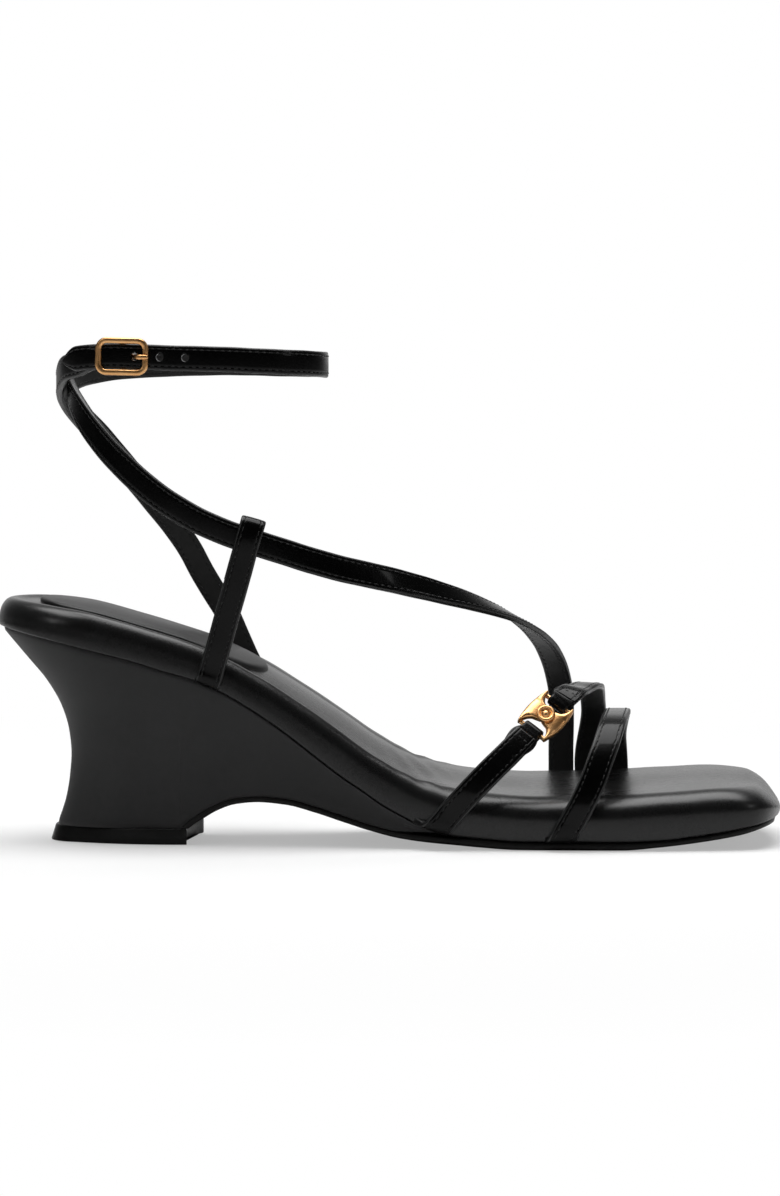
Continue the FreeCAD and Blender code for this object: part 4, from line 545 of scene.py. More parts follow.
def thread_material():
    mat = Surface("seam_thread")
    place = mat.coord()
    twist = mat.add("ShaderNodeTexWave", {
        "Vector": place, "Scale": 1500.0, "Distortion": 2.0, "Detail": 1.0}).outputs[0]
    tone = mat.noise(place, 900.0, detail=2.0)
    return mat.finish(
        Base_Color=mat.mix(tone, (0.003, 0.003, 0.003), (0.011, 0.011, 0.0112)),
        Roughness=mat.remap(tone, 0.4, 0.6),
        Normal=mat.bump(twist, strength=0.6, depth=0.00005),
        Specular_IOR_Level=0.35, Sheen_Weight=0.06)


def rubber(name, dark, light, rough):
    mat = Surface(name)
    place = mat.coord()
    speck = mat.noise(place, 1800.0, rough=0.6)
    broad = mat.noise(place, 70.0)
    scratch = mat.noise(mat.coord((40.0, 900.0, 900.0)), 1.0, detail=4.0, rough=0.6)
    colour = mat.mix(mat.remap(broad, 0.0, 1.0, start=0.3, end=0.7), dark, light)
    colour = mat.worn(colour, tuple(c * 2.5 + 0.01 for c in light), amount=0.4, spread=0.08)
    normal = mat.bump(scratch, strength=0.3, depth=0.00004)
    normal = mat.bump(speck, strength=0.4, depth=0.00004, below=normal)
    return mat.finish(Base_Color=colour, Specular_IOR_Level=0.22, Normal=normal,
                      Roughness=mat.remap(speck, *rough, start=0.3, end=0.7))


def gold_material():
    mat = Surface("gold_plating")
    place = mat.coord()
    brush = mat.noise(mat.coord((300.0, 2600.0, 2600.0)), 1.0, detail=4.0, rough=0.65)
    cloud = mat.noise(place, 220.0, detail=4.0, rough=0.6)
    pits = mat.noise(place, 3500.0, detail=2.0, rough=0.5)
    tone = mat.remap(cloud, 0.0, 1.0, start=0.35, end=0.65)
    colour = mat.mix(tone, (0.76, 0.39, 0.15), (0.88, 0.50, 0.22))
    colour = mat.worn(colour, (0.96, 0.66, 0.36), amount=0.5, spread=0.10)
    sheen = mat.weighted(brush, 0.6, cloud, 0.4)
    roughness = mat.remap(sheen, 0.24, 0.40, start=0.3, end=0.7)
    normal = mat.bump(brush, strength=0.10, depth=0.000008)
    normal = mat.bump(pits, strength=0.08, depth=0.000008, below=normal)
    return mat.finish(Base_Color=colour, Metallic=1.0, Roughness=roughness, Normal=normal)


def steel_material():
    mat = Surface("spring_steel")
    brush = mat.noise(mat.coord((200.0, 2400.0, 2400.0)), 1.0, detail=4.0, rough=0.65)
    rust = mat.noise(mat.coord(), 160.0, detail=5.0, rough=0.6)
    tone = mat.remap(rust, 0.0, 1.0, start=0.55, end=0.75)
    return mat.finish(
        Base_Color=mat.mix(tone, (0.46, 0.46, 0.48), (0.30, 0.24, 0.20)), Metallic=1.0,
        Roughness=mat.remap(brush, 0.25, 0.5),
        Normal=mat.bump(brush, strength=0.3, depth=0.00003))


def board_material():
    mat = Surface("fibre_board")
    place = mat.coord()
    fibre = mat.noise(mat.coord((300.0, 1400.0, 1400.0)), 1.0, detail=5.0, rough=0.7)
    speck = mat.noise(place, 1600.0, detail=2.0)
    return mat.finish(Base_Color=mat.mix(fibre, (0.20, 0.13, 0.08), (0.42, 0.31, 0.21)),
                      Roughness=0.85, Normal=mat.bump(speck, strength=0.5, depth=0.0001))


def foam_material():
    mat = Surface("latex_foam")
    place = mat.coord()
    cells = mat.cells(place, 1100.0)
    tone = mat.noise(place, 90.0)
    return mat.finish(Base_Color=mat.mix(tone, (0.62, 0.57, 0.44), (0.80, 0.76, 0.62)),
                      Roughness=0.9, Normal=mat.bump(cells, strength=0.7, depth=0.0002))


def cork_material():
    mat = Surface("cork_core")
    place = mat.coord()
    cells = mat.cells(place, 330.0)
    fleck = mat.noise(place, 600.0, rough=0.6)
    tone = mat.remap(cells, 0.0, 1.0, start=0.0, end=0.3)
    colour = mat.mix(tone, (0.22, 0.12, 0.06), (0.56, 0.39, 0.23))
    colour = mat.mix(mat.math("MULTIPLY", fleck, 0.4), colour, (0.70, 0.52, 0.33))
    return mat.finish(Base_Color=colour, Roughness=0.8,
                      Normal=mat.bump(cells, strength=0.5, depth=0.0003))


STRAP = leather(
    "strap_leather_gloss", dark=(0.001,) * 3, light=(0.003,) * 3, rough=(0.18, 0.30),
    grain=2400.0, grain_depth=0.000018, crease=0.00009, crease_scale=330.0,
    coat=0.20, coat_rough=0.09, specular=0.07)
LINING = leather(
    "strap_lining", dark=(0.006,) * 3, light=(0.012, 0.012, 0.0118), rough=(0.45, 0.62),
    grain=2000.0, grain_depth=0.00003, crease=0.00008, crease_scale=260.0)
EDGE = leather(
    "strap_edge_paint", dark=(0.004,) * 3, light=(0.009,) * 3, rough=(0.28, 0.45),
    grain=1500.0, grain_depth=0.00002, crease=0.00010, crease_scale=700.0)
FOOTBED = leather(
    "footbed_leather", dark=(0.0075, 0.0075, 0.0076), light=(0.0105, 0.0105, 0.0107),
    rough=(0.24, 0.31), grain=3000.0, grain_depth=0.000012, crease=0.00003,
    crease_scale=120.0, specular=0.42)
HEEL_PAD = leather(
    "heel_pad_leather", dark=(0.0070, 0.0070, 0.0072), light=(0.0105, 0.0105, 0.0107),
    rough=(0.38, 0.5), grain=3200.0, grain_depth=0.00002, crease=0.00004, crease_scale=90.0)
WEDGE = leather(
    "wedge_leather", dark=(0.047, 0.047, 0.0476), light=(0.054, 0.054, 0.0547),
    rough=(0.55, 0.68), grain=3400.0, grain_depth=0.000016, crease=0.00002,
    crease_scale=60.0, specular=0.35)
THREAD = thread_material()
OUTSOLE = rubber("outsole_rubber", dark=(0.006, 0.0058, 0.0056),
                 light=(0.014, 0.0135, 0.013), rough=(0.35, 0.55))
TREAD = rubber("top_piece_rubber", dark=(0.005,) * 3, light=(0.012,) * 3, rough=(0.28, 0.45))
GOLD = gold_material()
STEEL = steel_material()
BOARD = board_material()
FOAM = foam_material()
CORK = cork_material()

# CAD pieces that keep their own shape
KEPT = {
    "insole_board": BOARD, "shank": STEEL, "shank_rivets": STEEL, "heel_screws": STEEL,
    "top_piece_pins": STEEL, "buckle_bar": GOLD, "ornament_bars": GOLD,
}
for name, material in KEPT.items():
    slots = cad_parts[name].data.materials
    if len(slots) == 0:
        slots.append(material)
    for i in range(len(slots)):
        slots[i] = material

# --- lines of the sole, each a Curve(places, values); places are x unless said otherwise
# height of the seam between wedge and footbed
SEAM = Curve(
    [-45, -35.5, -30.2, -18.3, -6.6, 4.8, 13.4, 22.3, 30.3, 39, 48.5, 58.6, 67.4, 72.6, 78.2,
     83.9, 89.5, 95.2, 101, 107.6, 119, 131, 150, 160, 172.9, 185.5, 194, 205],
    [65.9, 64.9, 63.9, 61.2, 58.1, 55.2, 52.5, 50.0, 46.6, 41.5, 35.0, 27.1, 20.4, 17.0, 13.0,
     9.8, 6.9, 4.7, 3.6, 3.05, 2.35, 2.35, 2.35, 2.65, 4.05, 6.1, 7.8, 10.2])
# height of the footbed's top
TOP = Curve(
    [-45, -37, -26, -12, 5, 25, 40, 54, 65, 77, 90, 107, 125, 143, 165, 182, 190, 194.5,
     197.5, 199],
    [73.9, 73.4, 73.0, 71.2, 66.8, 60.4, 52.9, 44.2, 36.4, 27.6, 20.8, 16.8, 15.6, 15.8, 17.0,
     17.9, 17.5, 15.9, 13.3, 11.6])
# outsole, heel to toe: x and z of its top face, x and z of its under face
SOLE_STATIONS = np.array([
    (18.2, 4.85, 20.6, 4.85), (20.6, 7.0, 22.6, 6.35), (23.4, 9.1, 24.9, 7.8),
    (28.6, 12.0, 29.4, 10.4), (34.4, 13.9, 34.7, 12.2), (41.2, 14.5, 41.2, 12.8),
    (50.1, 13.8, 49.6, 12.1), (59.0, 11.5, 58.3, 9.9), (67.4, 8.85, 66.8, 7.2),
    (75.8, 6.3, 75.2, 4.7), (84.2, 4.55, 83.9, 2.7), (92.4, 3.75, 92.4, 1.7),
    (101, 3.3, 101, 1.1), (107.6, 3.0, 107.6, 0.6), (119, 2.3, 119, 0.0),
    (131, 2.3, 131, 0.0), (150, 2.3, 150, 0.0), (160, 2.6, 160, 0.75),
    (172.9, 4.0, 172.9, 2.2), (185.5, 6.05, 185.5, 4.2), (194, 7.75, 194, 6.2),
    (197.3, 8.5, 197.3, 6.9)])
SOLE_TOP = Curve(SOLE_STATIONS[:, 0], SOLE_STATIONS[:, 1])
# y of the footbed's outer and inner edges
PLAN_X = [-40, -10, 0, 20, 40, 60, 80, 100, 115, 130, 145, 160, 175, 190, 200]
PLAN_OUTER = Curve(PLAN_X, [-29.0, -29.0, -29.3, -30.0, -30.0, -30.5, -32.0, -34.5, -36.4,
                            -37.9, -38.5, -38.0, -36.5, -34.6, -33.4])
PLAN_INNER = Curve(PLAN_X, [23.0, 23.0, 23.0, 22.0, 20.0, 19.0, 22.0, 29.0, 35.0, 39.2,
                            41.0, 40.4, 38.4, 35.6, 33.6])
# y of the wedge's sides at its foot
FOOT_X = [-24, -15, -5, 5, 20, 35, 50, 65, 80, 95, 110]
FOOT_OUTER = Curve(FOOT_X, [-17.5, -18.5, -19.5, -20.5, -22.0, -22.0, -23.0, -25.0, -28.5,
                            -32.0, -35.2])
FOOT_INNER = Curve(FOOT_X, [8.5, 9.0, 10.0, 10.5, 11.0, 10.5, 10.5, 12.5, 17.0, 24.0, 31.5])
# x of the wedge's back at each z
WEDGE_BACK = Curve(
    [0.0, 4.9, 12.8, 19.2, 26.2, 33.2, 40.0, 48.2, 55.2, 61.3, 64.2, 67.4, 75],
    [-21.4, -19.6, -17.0, -15.9, -15.4, -16.1, -18.1, -22.7, -28.5, -33.6, -35.9, -36.8, -37.0])
# drop of the footbed's top at each distance in from the rim (3 = end of the rim's roll),
# behind the arch and at the heel seat
HEEL_DROP = Curve([3.0, 3.6, 4.2, 5.0, 6.0, 7.0, 8.0, 9.2, 10.6, 13.0, 16.0, 20.0, 27.0],
                  [0.0, 0.16, 0.55, 0.28, 0.75, 1.7, 2.1, 2.05, 1.75, 1.35, 1.1, 0.9, 0.7])
SEAT_DROP = Curve([3.0, 3.8, 4.8, 6.0, 7.0, 8.2, 9.6, 11.0, 13.0, 16.0, 20.0, 27.0],
                  [0.0, 0.12, 0.45, 0.75, 0.85, 0.8, 0.75, 0.7, 0.6, 0.5, 0.45, 0.4])
# rise of the inner side and fall of the outer side
INNER_LIFT = Curve(
    [-40.0, 16, 34, 42, 48, 56, 64, 72, 80, 90, 100, 112, 130, 150, 185, 191, 196, 199],
    [0.0, 0.0, 0.8, 1.35, 1.5, 1.75, 2.1, 2.45, 2.4, 2.1, 1.95, 1.7, 1.35, 1.2, 1.2, 1.5, 1.6,
     1.2])
OUTER_DIP = Curve([-40.0, -28, -10, 10, 30, 50, 70, 85, 98, 110, 200],
                  [0.5, 0.55, 0.75, 0.75, 0.85, 1.0, 0.8, 0.5, 0.15, 0.0, 0.0])

# --- footbed
BED_BACK, BED_FRONT = -37.0, 198.5
HEEL_ROUND, TOE_ROUND = 27.0, 17.0
# width and height of the rolled rim at the heel and the forefoot
RIM_WIDE_HEEL, RIM_WIDE_FORE = 4.2, 7.6
RIM_HIGH_HEEL, RIM_HIGH_FORE = 6.2, 6.4
FLAT_INSET = 13.4
SEAM_LAP = 0.12


def outline(inset, m):
    """2*m points: back tip, outer side, toe tip, inner side; inset is one number or 2*m."""
    inset = np.broadcast_to(inset, 2 * m)[:m + 1]
    back, front = BED_BACK + inset, BED_FRONT - inset
    x = back + (front - back) * (0.5 - 0.5 * np.cos(np.pi * (np.arange(m + 1) / m)))
    k = np.ones_like(x)
    a = x < back + HEEL_ROUND
    k[a] = np.sqrt(np.maximum(0, 1 - (1 - (x[a] - back[a]) / HEEL_ROUND) ** 2))
    b = x > front - TOE_ROUND
    toe = np.maximum(0, 1 - ((x[b] - (front[b] - TOE_ROUND)) / TOE_ROUND) ** 3.2)
    k[b] = np.minimum(k[b], toe ** (1 / 2.3))
    low, high = PLAN_OUTER(x) + inset, PLAN_INNER(x) - inset
    middle = (low + high) / 2
    outer = np.c_[x, middle + (low - middle) * k]
    inner = np.c_[x, middle + (high - middle) * k]
    return np.r_[outer, inner[-2:0:-1]]


BED_EDGE = outline(0.0, 400)


def inset_of(xy):
    """Distance of points from the footbed's edge."""
    run = np.roll(BED_EDGE, -1, axis=0) - BED_EDGE
    square = np.maximum((run**2).sum(1), 1e-9)
    distance = np.zeros(len(xy))
    for i, p in enumerate(xy):
        t = np.clip(((p - BED_EDGE) * run).sum(1) / square, 0, 1)
        distance[i] = np.sqrt((((BED_EDGE + run * t[:, None]) - p) ** 2).sum(1).min())
    return distance


def across(x, y):
    """Place across the sole: -1 at the outer edge, 1 at the inner edge."""
    low, high = PLAN_OUTER(x), PLAN_INNER(x)
    return (y - (low + high) / 2) / np.maximum((high - low) / 2, 1.0)


def tilt(x, y):
    """Inner side of the footbed a little higher, outer rim a little lower."""
    t = across(x, y)
    inner = INNER_LIFT(x) * smooth01((t + 0.38) / 0.85)
    return inner - OUTER_DIP(x) * smooth01((-t - 0.1) / 0.7)


def fore_weight(x):
    """0 at the heel, 1 at the forefoot."""
    return smooth01((x - 80.0) / 26.0)


def fore_scale(x):
    """Share of the forefoot rim's height that fits the footbed's thickness."""
    return np.clip((TOP(x) - SEAM(x)) / 12.5, 0.12, 1.0)


def wrinkle(x, y, d):
    """Soft folds where the arch meets the forefoot and along the heel rim."""
    wave = np.sin((x + 0.35 * y) * 0.85 + 0.6 * np.sin(y * 0.22))
    fore = np.exp(-((x - 90.0) / 8.0) ** 2) * 0.20 * wave
    heel = np.exp(-((x - 34.0) / 12.0) ** 2) * 0.05 * np.sin(x * 0.62 + y * 0.3)
    near_rim = np.exp(-((d - 3.0) / 4.0) ** 2)
    rim = 0.05 * np.sin(x * 0.33 + 1.3 * np.sin(x * 0.11)) * near_rim
    return (fore + heel) * smooth01(d / 3.0) + rim


def round_drop(d, width):
    """Quarter-round fall, 1 at the edge and 0 at `width` in from it."""
    return 1 - np.sqrt(np.clip(1 - (1 - d / width) ** 2, 0, 1))


def top_z(x, y, d):
    """Height of the footbed's top, d in from its edge."""
    weight = fore_weight(x)
    past_seat = smooth01((x - 18.0) / 26.0)
    from_roll = d - RIM_WIDE_HEEL + 3.0
    outer_share = 0.25 + 0.75 * smooth01((0.15 - across(x, y)) / 0.7)
    hollow = (HEEL_DROP(from_roll) * outer_share * past_seat
              + SEAT_DROP(from_roll) * (1 - past_seat))
    heel = np.where(d < RIM_WIDE_HEEL, RIM_HIGH_HEEL * round_drop(d, RIM_WIDE_HEEL), hollow)
    fore_roll = RIM_HIGH_FORE * fore_scale(x) * round_drop(d, RIM_WIDE_FORE)
    fore = np.where(d < RIM_WIDE_FORE, fore_roll, 0.0)
    return TOP(x) - heel * (1 - weight) - fore * weight + wrinkle(x, y, d) + tilt(x, y)


def rim_height(x):
    weight = fore_weight(x)
    return RIM_HIGH_HEEL * (1 - weight) + RIM_HIGH_FORE * fore_scale(x) * weight


# side wall from the underside up: inset, share of the wall's height
WALL = ((2.2, 0.0), (1.5, 0.01), (0.85, 0.028), (0.4, 0.055), (0.12, 0.09), (0.0, 0.13),
        (0.0, 0.2), (0.0, 0.35), (0.0, 0.5), (0.0, 0.65), (0.0, 0.8), (0.0, 0.92))
ROLL_DEGREES = [0, 9, 18, 27, 36, 45, 54, 62, 70, 77, 84, 90]
# shares of the way from the roll to FLAT_INSET, then from there to the middle line
TOP_SHARES = (0.035, 0.07, 0.105, 0.14, 0.18, 0.22, 0.265, 0.31, 0.355, 0.4, 0.45, 0.5, 0.56,
              0.62, 0.7, 0.8, 0.9, 1.0)
MIDDLE_SHARES = (0.16, 0.34, 0.52, 0.7, 0.86)


def footbed(m, shrink=0.0, floor_up=0.0):
    """Side wall, rolled rim and soft top; shrink gives the padding below the leather."""
    weight = fore_weight(outline(0.0, m)[:, 0])
    rim_wide = RIM_WIDE_HEEL * (1 - weight) + RIM_WIDE_FORE * weight
    rings = []
    for inset, q in WALL:
        bulge = (0.45 * np.sin(math.pi * min(1.0, q * 0.62)) * weight
                 + 0.12 * np.sin(math.pi * q) * (1 - weight))
        edge = outline(inset - bulge + shrink, m)
        x, y = edge.T
        wall = TOP(x) - rim_height(x) - SEAM(x) + SEAM_LAP - floor_up
        rings.append(np.c_[edge, SEAM(x) - SEAM_LAP + floor_up + wall * q + q * tilt(x, y)])
    for a in np.radians(ROLL_DEGREES):
        bulge = 0.45 * math.sin(math.pi * (0.62 + 0.38 * math.sin(a))) * weight
        d = rim_wide * (1 - math.cos(a))
        edge = outline(d - bulge + shrink, m)
        x, y = edge.T
        z = TOP(x) - rim_height(x) * (1 - math.sin(a)) + wrinkle(x, y, d) + tilt(x, y)
        rings.append(np.c_[edge, z])
    for q in TOP_SHARES:
        d = rim_wide + (FLAT_INSET - rim_wide) * q
        edge = outline(d + shrink, m)
        rings.append(np.c_[edge, top_z(edge[:, 0], edge[:, 1], d)])
    edge = rings[-1][:, :2]
    x = np.clip(edge[:, 0], -8.0, 172.0)
    spine = np.c_[x, (PLAN_OUTER(x) + PLAN_INNER(x)) / 2]
    for q in MIDDLE_SHARES:
        p = edge * (1 - q) + spine * q
        rings.append(np.c_[p, top_z(p[:, 0], p[:, 1], inset_of(p))])
    for i, ring in enumerate(rings):
        ring[:, 2] -= shrink * smooth01((i - 6) / 10.0)
    return zipped_tube(rings)


cover = make("footbed_upholstery", footbed(230), "sandal", [FOOTBED])
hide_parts("footbed_cover")
padding = make("footbed_padding", footbed(120, shrink=1.5, floor_up=1.9), "sandal", [FOAM])
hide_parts("footbed_foam")

# --- heel pad
# outline, x and y
PAD_OUTLINE = np.array([
    (-24.6, -3.0), (-23.4, -10.5), (-19.4, -17.0), (-11.0, -20.9), (4.0, -22.2),
    (20.0, -21.8), (32.0, -19.4), (40.0, -13.4), (44.0, -5.0), (42.2, 3.4), (36.0, 9.6),
    (26.0, 13.6), (10.0, 15.4), (-4.0, 15.6), (-14.0, 13.0), (-20.6, 7.4), (-23.8, 2.0)])
# edge, from the underside over the top: inset, height over the footbed
PAD_EDGE = ((0.6, -1.6), (0.05, -0.9), (0.0, 0.1), (0.0, 0.6), (0.1, 0.95), (0.32, 1.2),
            (0.75, 1.36), (1.4, 1.42), (2.4, 1.40), (3.4, 1.42), (5.0, 1.46), (7.5, 1.5))
PAD_SIDE_POINTS = 110


def closed_spline(points, n):
    points = np.r_[points[-3:], points, points[:3]]
    run = run_length(points)
    return natural(run, points, np.linspace(run[3], run[-3], n, endpoint=False))


def evenly(points, n):
    """n points at equal steps along a line, its last point left out."""
    run = run_length(points)
    at = np.linspace(0, run[-1], n + 1)
    return np.c_[np.interp(at, run, points[:, 0]), np.interp(at, run, points[:, 1])][:-1]


def heel_pad():
    edge = closed_spline(PAD_OUTLINE, 880)
    back, front = int(np.argmin(edge[:, 0])), int(np.argmax(edge[:, 0]))
    edge = np.roll(edge, -back, axis=0)
    front = (front - back) % len(edge)
    edge = np.r_[evenly(edge[:front + 1], PAD_SIDE_POINTS),
                 evenly(np.r_[edge[front:], edge[:1]], PAD_SIDE_POINTS)]
    inside = inward(edge)

    def ring(p, height):
        x, y, d = p[:, 0], p[:, 1], inset_of(p)
        return np.c_[p, top_z(x, y, d) - wrinkle(x, y, d) + height]

    rings = [ring(edge + inside * inset, height) for inset, height in PAD_EDGE]
    last_inset, last_height = PAD_EDGE[-1]
    last = edge + inside * last_inset
    spine = np.c_[np.clip(last[:, 0], -10.0, 28.0), np.full(len(last), -3.2)]
    for q in (0.2, 0.4, 0.6, 0.75):
        rings.append(ring(last * (1 - q) + spine * q, last_height + 0.12 * smooth01(q)))
    return zipped_tube(rings)


pad = make("heel_pad", heel_pad(), "sandal", [HEEL_PAD])
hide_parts("heel_sock")

# --- wedge
WEDGE_FLOOR = 4.8
BACK_STEPS = 46
BACK_END = 17.2
WEDGE_X = np.r_[
    17.6, 18.0, 18.25, 18.6, 19.1, 19.7, 20.4, 21.2, 22.0, 22.9, 23.8, 25, 26, 27.2, 28.5, 30,
    32, 34, np.arange(36.5, 94.1, 1.6), 94.0]
# levels from the foot to the seam: share of the height, and inset
LEVELS = np.r_[0.0, 0.012, 0.03, 0.07, np.linspace(0.12, 0.92, 30), 0.955, 0.975, 0.988, 1.0]
LEVEL_INSETS = np.r_[0.35, 0.1, 0.0, 0.0, np.zeros(30), 0.0, 0.08, 0.35, 0.8]


def wedge_level(x, level, inset):
    """Lowest z at x, z at this level, and x of the back at that z."""
    floor_z = max(WEDGE_FLOOR, float(SOLE_TOP(x)))
    z = floor_z + (float(SEAM(x)) - floor_z) * level
    return floor_z, z, float(WEDGE_BACK(z)) + inset


def wedge(levels, insets):
    rings = []
    for level, inset in zip(levels, insets):
        outer, inner = [], []
        for c in range(BACK_STEPS + 1 + len(WEDGE_X)):
            if c <= BACK_STEPS:
                # the back leans, so x and z are found together, step by step
                share = (c / BACK_STEPS) ** 1.9
                x = -20.0
                for _ in range(14):
                    floor_z, z, back = wedge_level(x, level, inset)
                    x = 0.5 * x + 0.5 * (back + (BACK_END - back) * share)
            else:
                x = WEDGE_X[c - BACK_STEPS - 1]
                floor_z, z, back = wedge_level(x, level, inset)
            up = np.clip((z - floor_z) / max(float(SEAM(x)) - floor_z, 2.0), 0, 1)
            up = up * up * (3 - 2 * up) * 0.35 + up * 0.65
            low = float(FOOT_OUTER(x)) * (1 - up) + float(PLAN_OUTER(x)) * up + inset
            high = float(FOOT_INNER(x)) * (1 - up) + float(PLAN_INNER(x)) * up - inset
            radius = 15.0 + 12.0 * np.clip((z - 5) / 58.0, 0, 1)
            k = 1.0
            if x < back + radius:
                k = math.sqrt(max(0.0, 1 - (1 - (x - back) / radius) ** 2))
            middle = (low + high) / 2
            outer.append((x, middle + (low - middle) * k, z))
            inner.append((x, middle + (high - middle) * k, z))
        rings.append(np.array(outer[::-1] + inner[1:]))
    verts, faces = tube(rings, "open")
    n = len(rings[0])
    for start in (0, (len(rings) - 1) * n):
        faces += [zip_face(start, n, j, back=1) for j in range(n // 2)]
    return verts, faces


wrap = make("wedge_wrap", wedge(LEVELS, LEVEL_INSETS), "sandal", [WEDGE],
            sharp=50)
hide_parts("wedge_cover")
core_shape = wedge(0.02 + LEVELS[::3] * 0.95, LEVEL_INSETS[::3] + 1.3)
core = make("wedge_filling", core_shape, "sandal", [CORK])
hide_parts("wedge_core")

# --- outsole: y of its outer and inner edges
SOLE_OUTER = Curve(
    [20.0, 35, 50, 65, 80, 95, 107, 120, 133, 145, 160, 175, 185, 191.5, 195.8, 197.3],
    [-22.0, -22.0, -23.0, -25.0, -28.5, -32.3, -34.8, -36.4, -37.5, -37.8, -37.2, -35.6, -33.6,
     -29.0, -20.0, -8.0])
SOLE_INNER = Curve(
    [20.0, 35, 50, 65, 80, 90, 100, 115, 130, 145, 160, 172, 184, 191.5, 195.8, 197.3],
    [11.0, 10.4, 10.6, 12.5, 17.0, 21.8, 27.5, 34.0, 38.4, 40.2, 39.8, 38.4, 35.6, 30.0, 22.0,
     12.0])
# rounded edge: inset, share of the way from the top face to the under face
SOLE_EDGE = ((0.55, 0.0), (0.18, 0.07), (0.0, 0.2), (-0.12, 0.5), (0.0, 0.8), (0.2, 0.94),
             (0.6, 1.0))
SOLE_TOE_RUN = 8.0


def outsole():
    run = run_length(np.c_[(SOLE_STATIONS[:, 0] + SOLE_STATIONS[:, 2]) / 2,
                           (SOLE_STATIONS[:, 1] + SOLE_STATIONS[:, 3]) / 2])
    # sections crowd together towards the rounded toe
    crowd = 1 - np.sin(np.linspace(0, math.pi / 2, 26))
    at = np.unique(np.r_[np.linspace(0, run[-1] - SOLE_TOE_RUN, 150),
                         run[-1] - SOLE_TOE_RUN * crowd])
    columns = [Curve(run, SOLE_STATIONS[:, i])(at) for i in range(4)]
    rings = []
    for top_x, top_z_, under_x, under_z in zip(*columns):
        middle_x = (top_x + under_x) / 2
        outer, inner = float(SOLE_OUTER(middle_x)), float(SOLE_INNER(middle_x))

        def edge(y, side, stations):
            return [(top_x * (1 - b) + under_x * b, y + side * a,
                     top_z_ * (1 - b) + under_z * b) for a, b in stations]

        def face(x, z, shares):
            return [(x, outer + (inner - outer) * q, z) for q in shares]

        rings.append(np.array(
            edge(outer, 1, SOLE_EDGE) + face(under_x, under_z, (0.25, 0.5, 0.75))
            + edge(inner, -1, SOLE_EDGE[::-1]) + face(top_x, top_z_, (0.75, 0.5, 0.25))))
    return tube(rings)


sole = make("thin_outsole", outsole(), "sandal", [OUTSOLE])
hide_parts("outsole")

# --- heel top piece
# outline as four arcs: start, a point between, end; x and y
TREAD_ARCS = (
    ((-13.5, -14.6), (-21.6, -4.2), (-12, 6.4)), ((-12, 6.4), (4, 10.2), (24.2, 11)),
    ((24.2, 11), (19.6, -5), (20.2, -22.2)), ((20.2, -22.2), (2, -20.4), (-13.5, -14.6)))
# side, from the floor up: inset, z
TREAD_SIDE = ((6.0, 0.0), (3.0, 0.0), (0.5, 0.0), (0.16, 0.03), (0.02, 0.16), (0.0, 0.5),
              (0.0, 2.2), (0.0, 4.3), (0.05, 4.6), (0.2, 4.76), (0.6, 4.84), (3.0, 4.86),
              (6.0, 4.86))


def arc_points(start, between, end, n):
    """n points along an arc through three points, without the last one."""
    (ax, ay), (bx, by), (cx, cy) = start, between, end
    aa, bb, cc = ax * ax + ay * ay, bx * bx + by * by, cx * cx + cy * cy
    d = 2 * (ax * (by - cy) + bx * (cy - ay) + cx * (ay - by))
    ux = (aa * (by - cy) + bb * (cy - ay) + cc * (ay - by)) / d
    uy = (aa * (cx - bx) + bb * (ax - cx) + cc * (bx - ax)) / d
    a0, a1, a2 = (math.atan2(y - uy, x - ux) for x, y in (start, between, end))
    radius = math.hypot(ax - ux, ay - uy)

    def turn(angle):
        while angle <= -math.pi:
            angle += 2 * math.pi
        while angle > math.pi:
            angle -= 2 * math.pi
        return angle

    sweep = turn(a1 - a0) + turn(a2 - a1)
    angles = [a0 + sweep * i / n for i in range(n)]
    return [(ux + radius * math.cos(a), uy + radius * math.sin(a)) for a in angles]


def heel_tread():
    edge = np.array(sum([arc_points(*arc, 30) for arc in TREAD_ARCS], []))
    edge = (np.roll(edge, 1, axis=0) + 6 * edge + np.roll(edge, -1, axis=0)) / 8
    inside = inward(edge)
    rings = []
    for inset, z in TREAD_SIDE:
        p = edge + inside * inset
        # the back leans out towards the floor
        lean = 1.5 * (z / WEDGE_FLOOR) * smooth01((4.0 - p[:, 0]) / 22.0)
        rings.append(np.c_[p[:, 0] + lean, p[:, 1], np.full(len(edge), z)])
    return tube(rings)


tread = make("heel_tread", heel_tread(), "sandal", [TREAD], sharp=40)
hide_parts("heel_top_piece")

# --- strap construction
HALF_THICK = 0.95
CROWN = 0.10
SEAM_INSET = 1.35
STITCH_PITCH = 2.05
STITCH_LENGTH = STITCH_PITCH * 0.72
UNDER_STITCH = -0.90
TACK_HEIGHT = 0.99
# one stitch: share of its length, thickness share, height over the leather
STITCH_SHAPE = ((0.0, 0.30, -0.16), (0.16, 0.85, 0.00), (0.5, 1.0, 0.075),
                (0.84, 0.85, 0.00), (1.0, 0.30, -0.16))

Path = namedtuple("Path", "along centre across normal width")


def soften(vectors):
    vectors[1:-1] = (vectors[:-2] + 2 * vectors[1:-1] + vectors[2:]) / 4


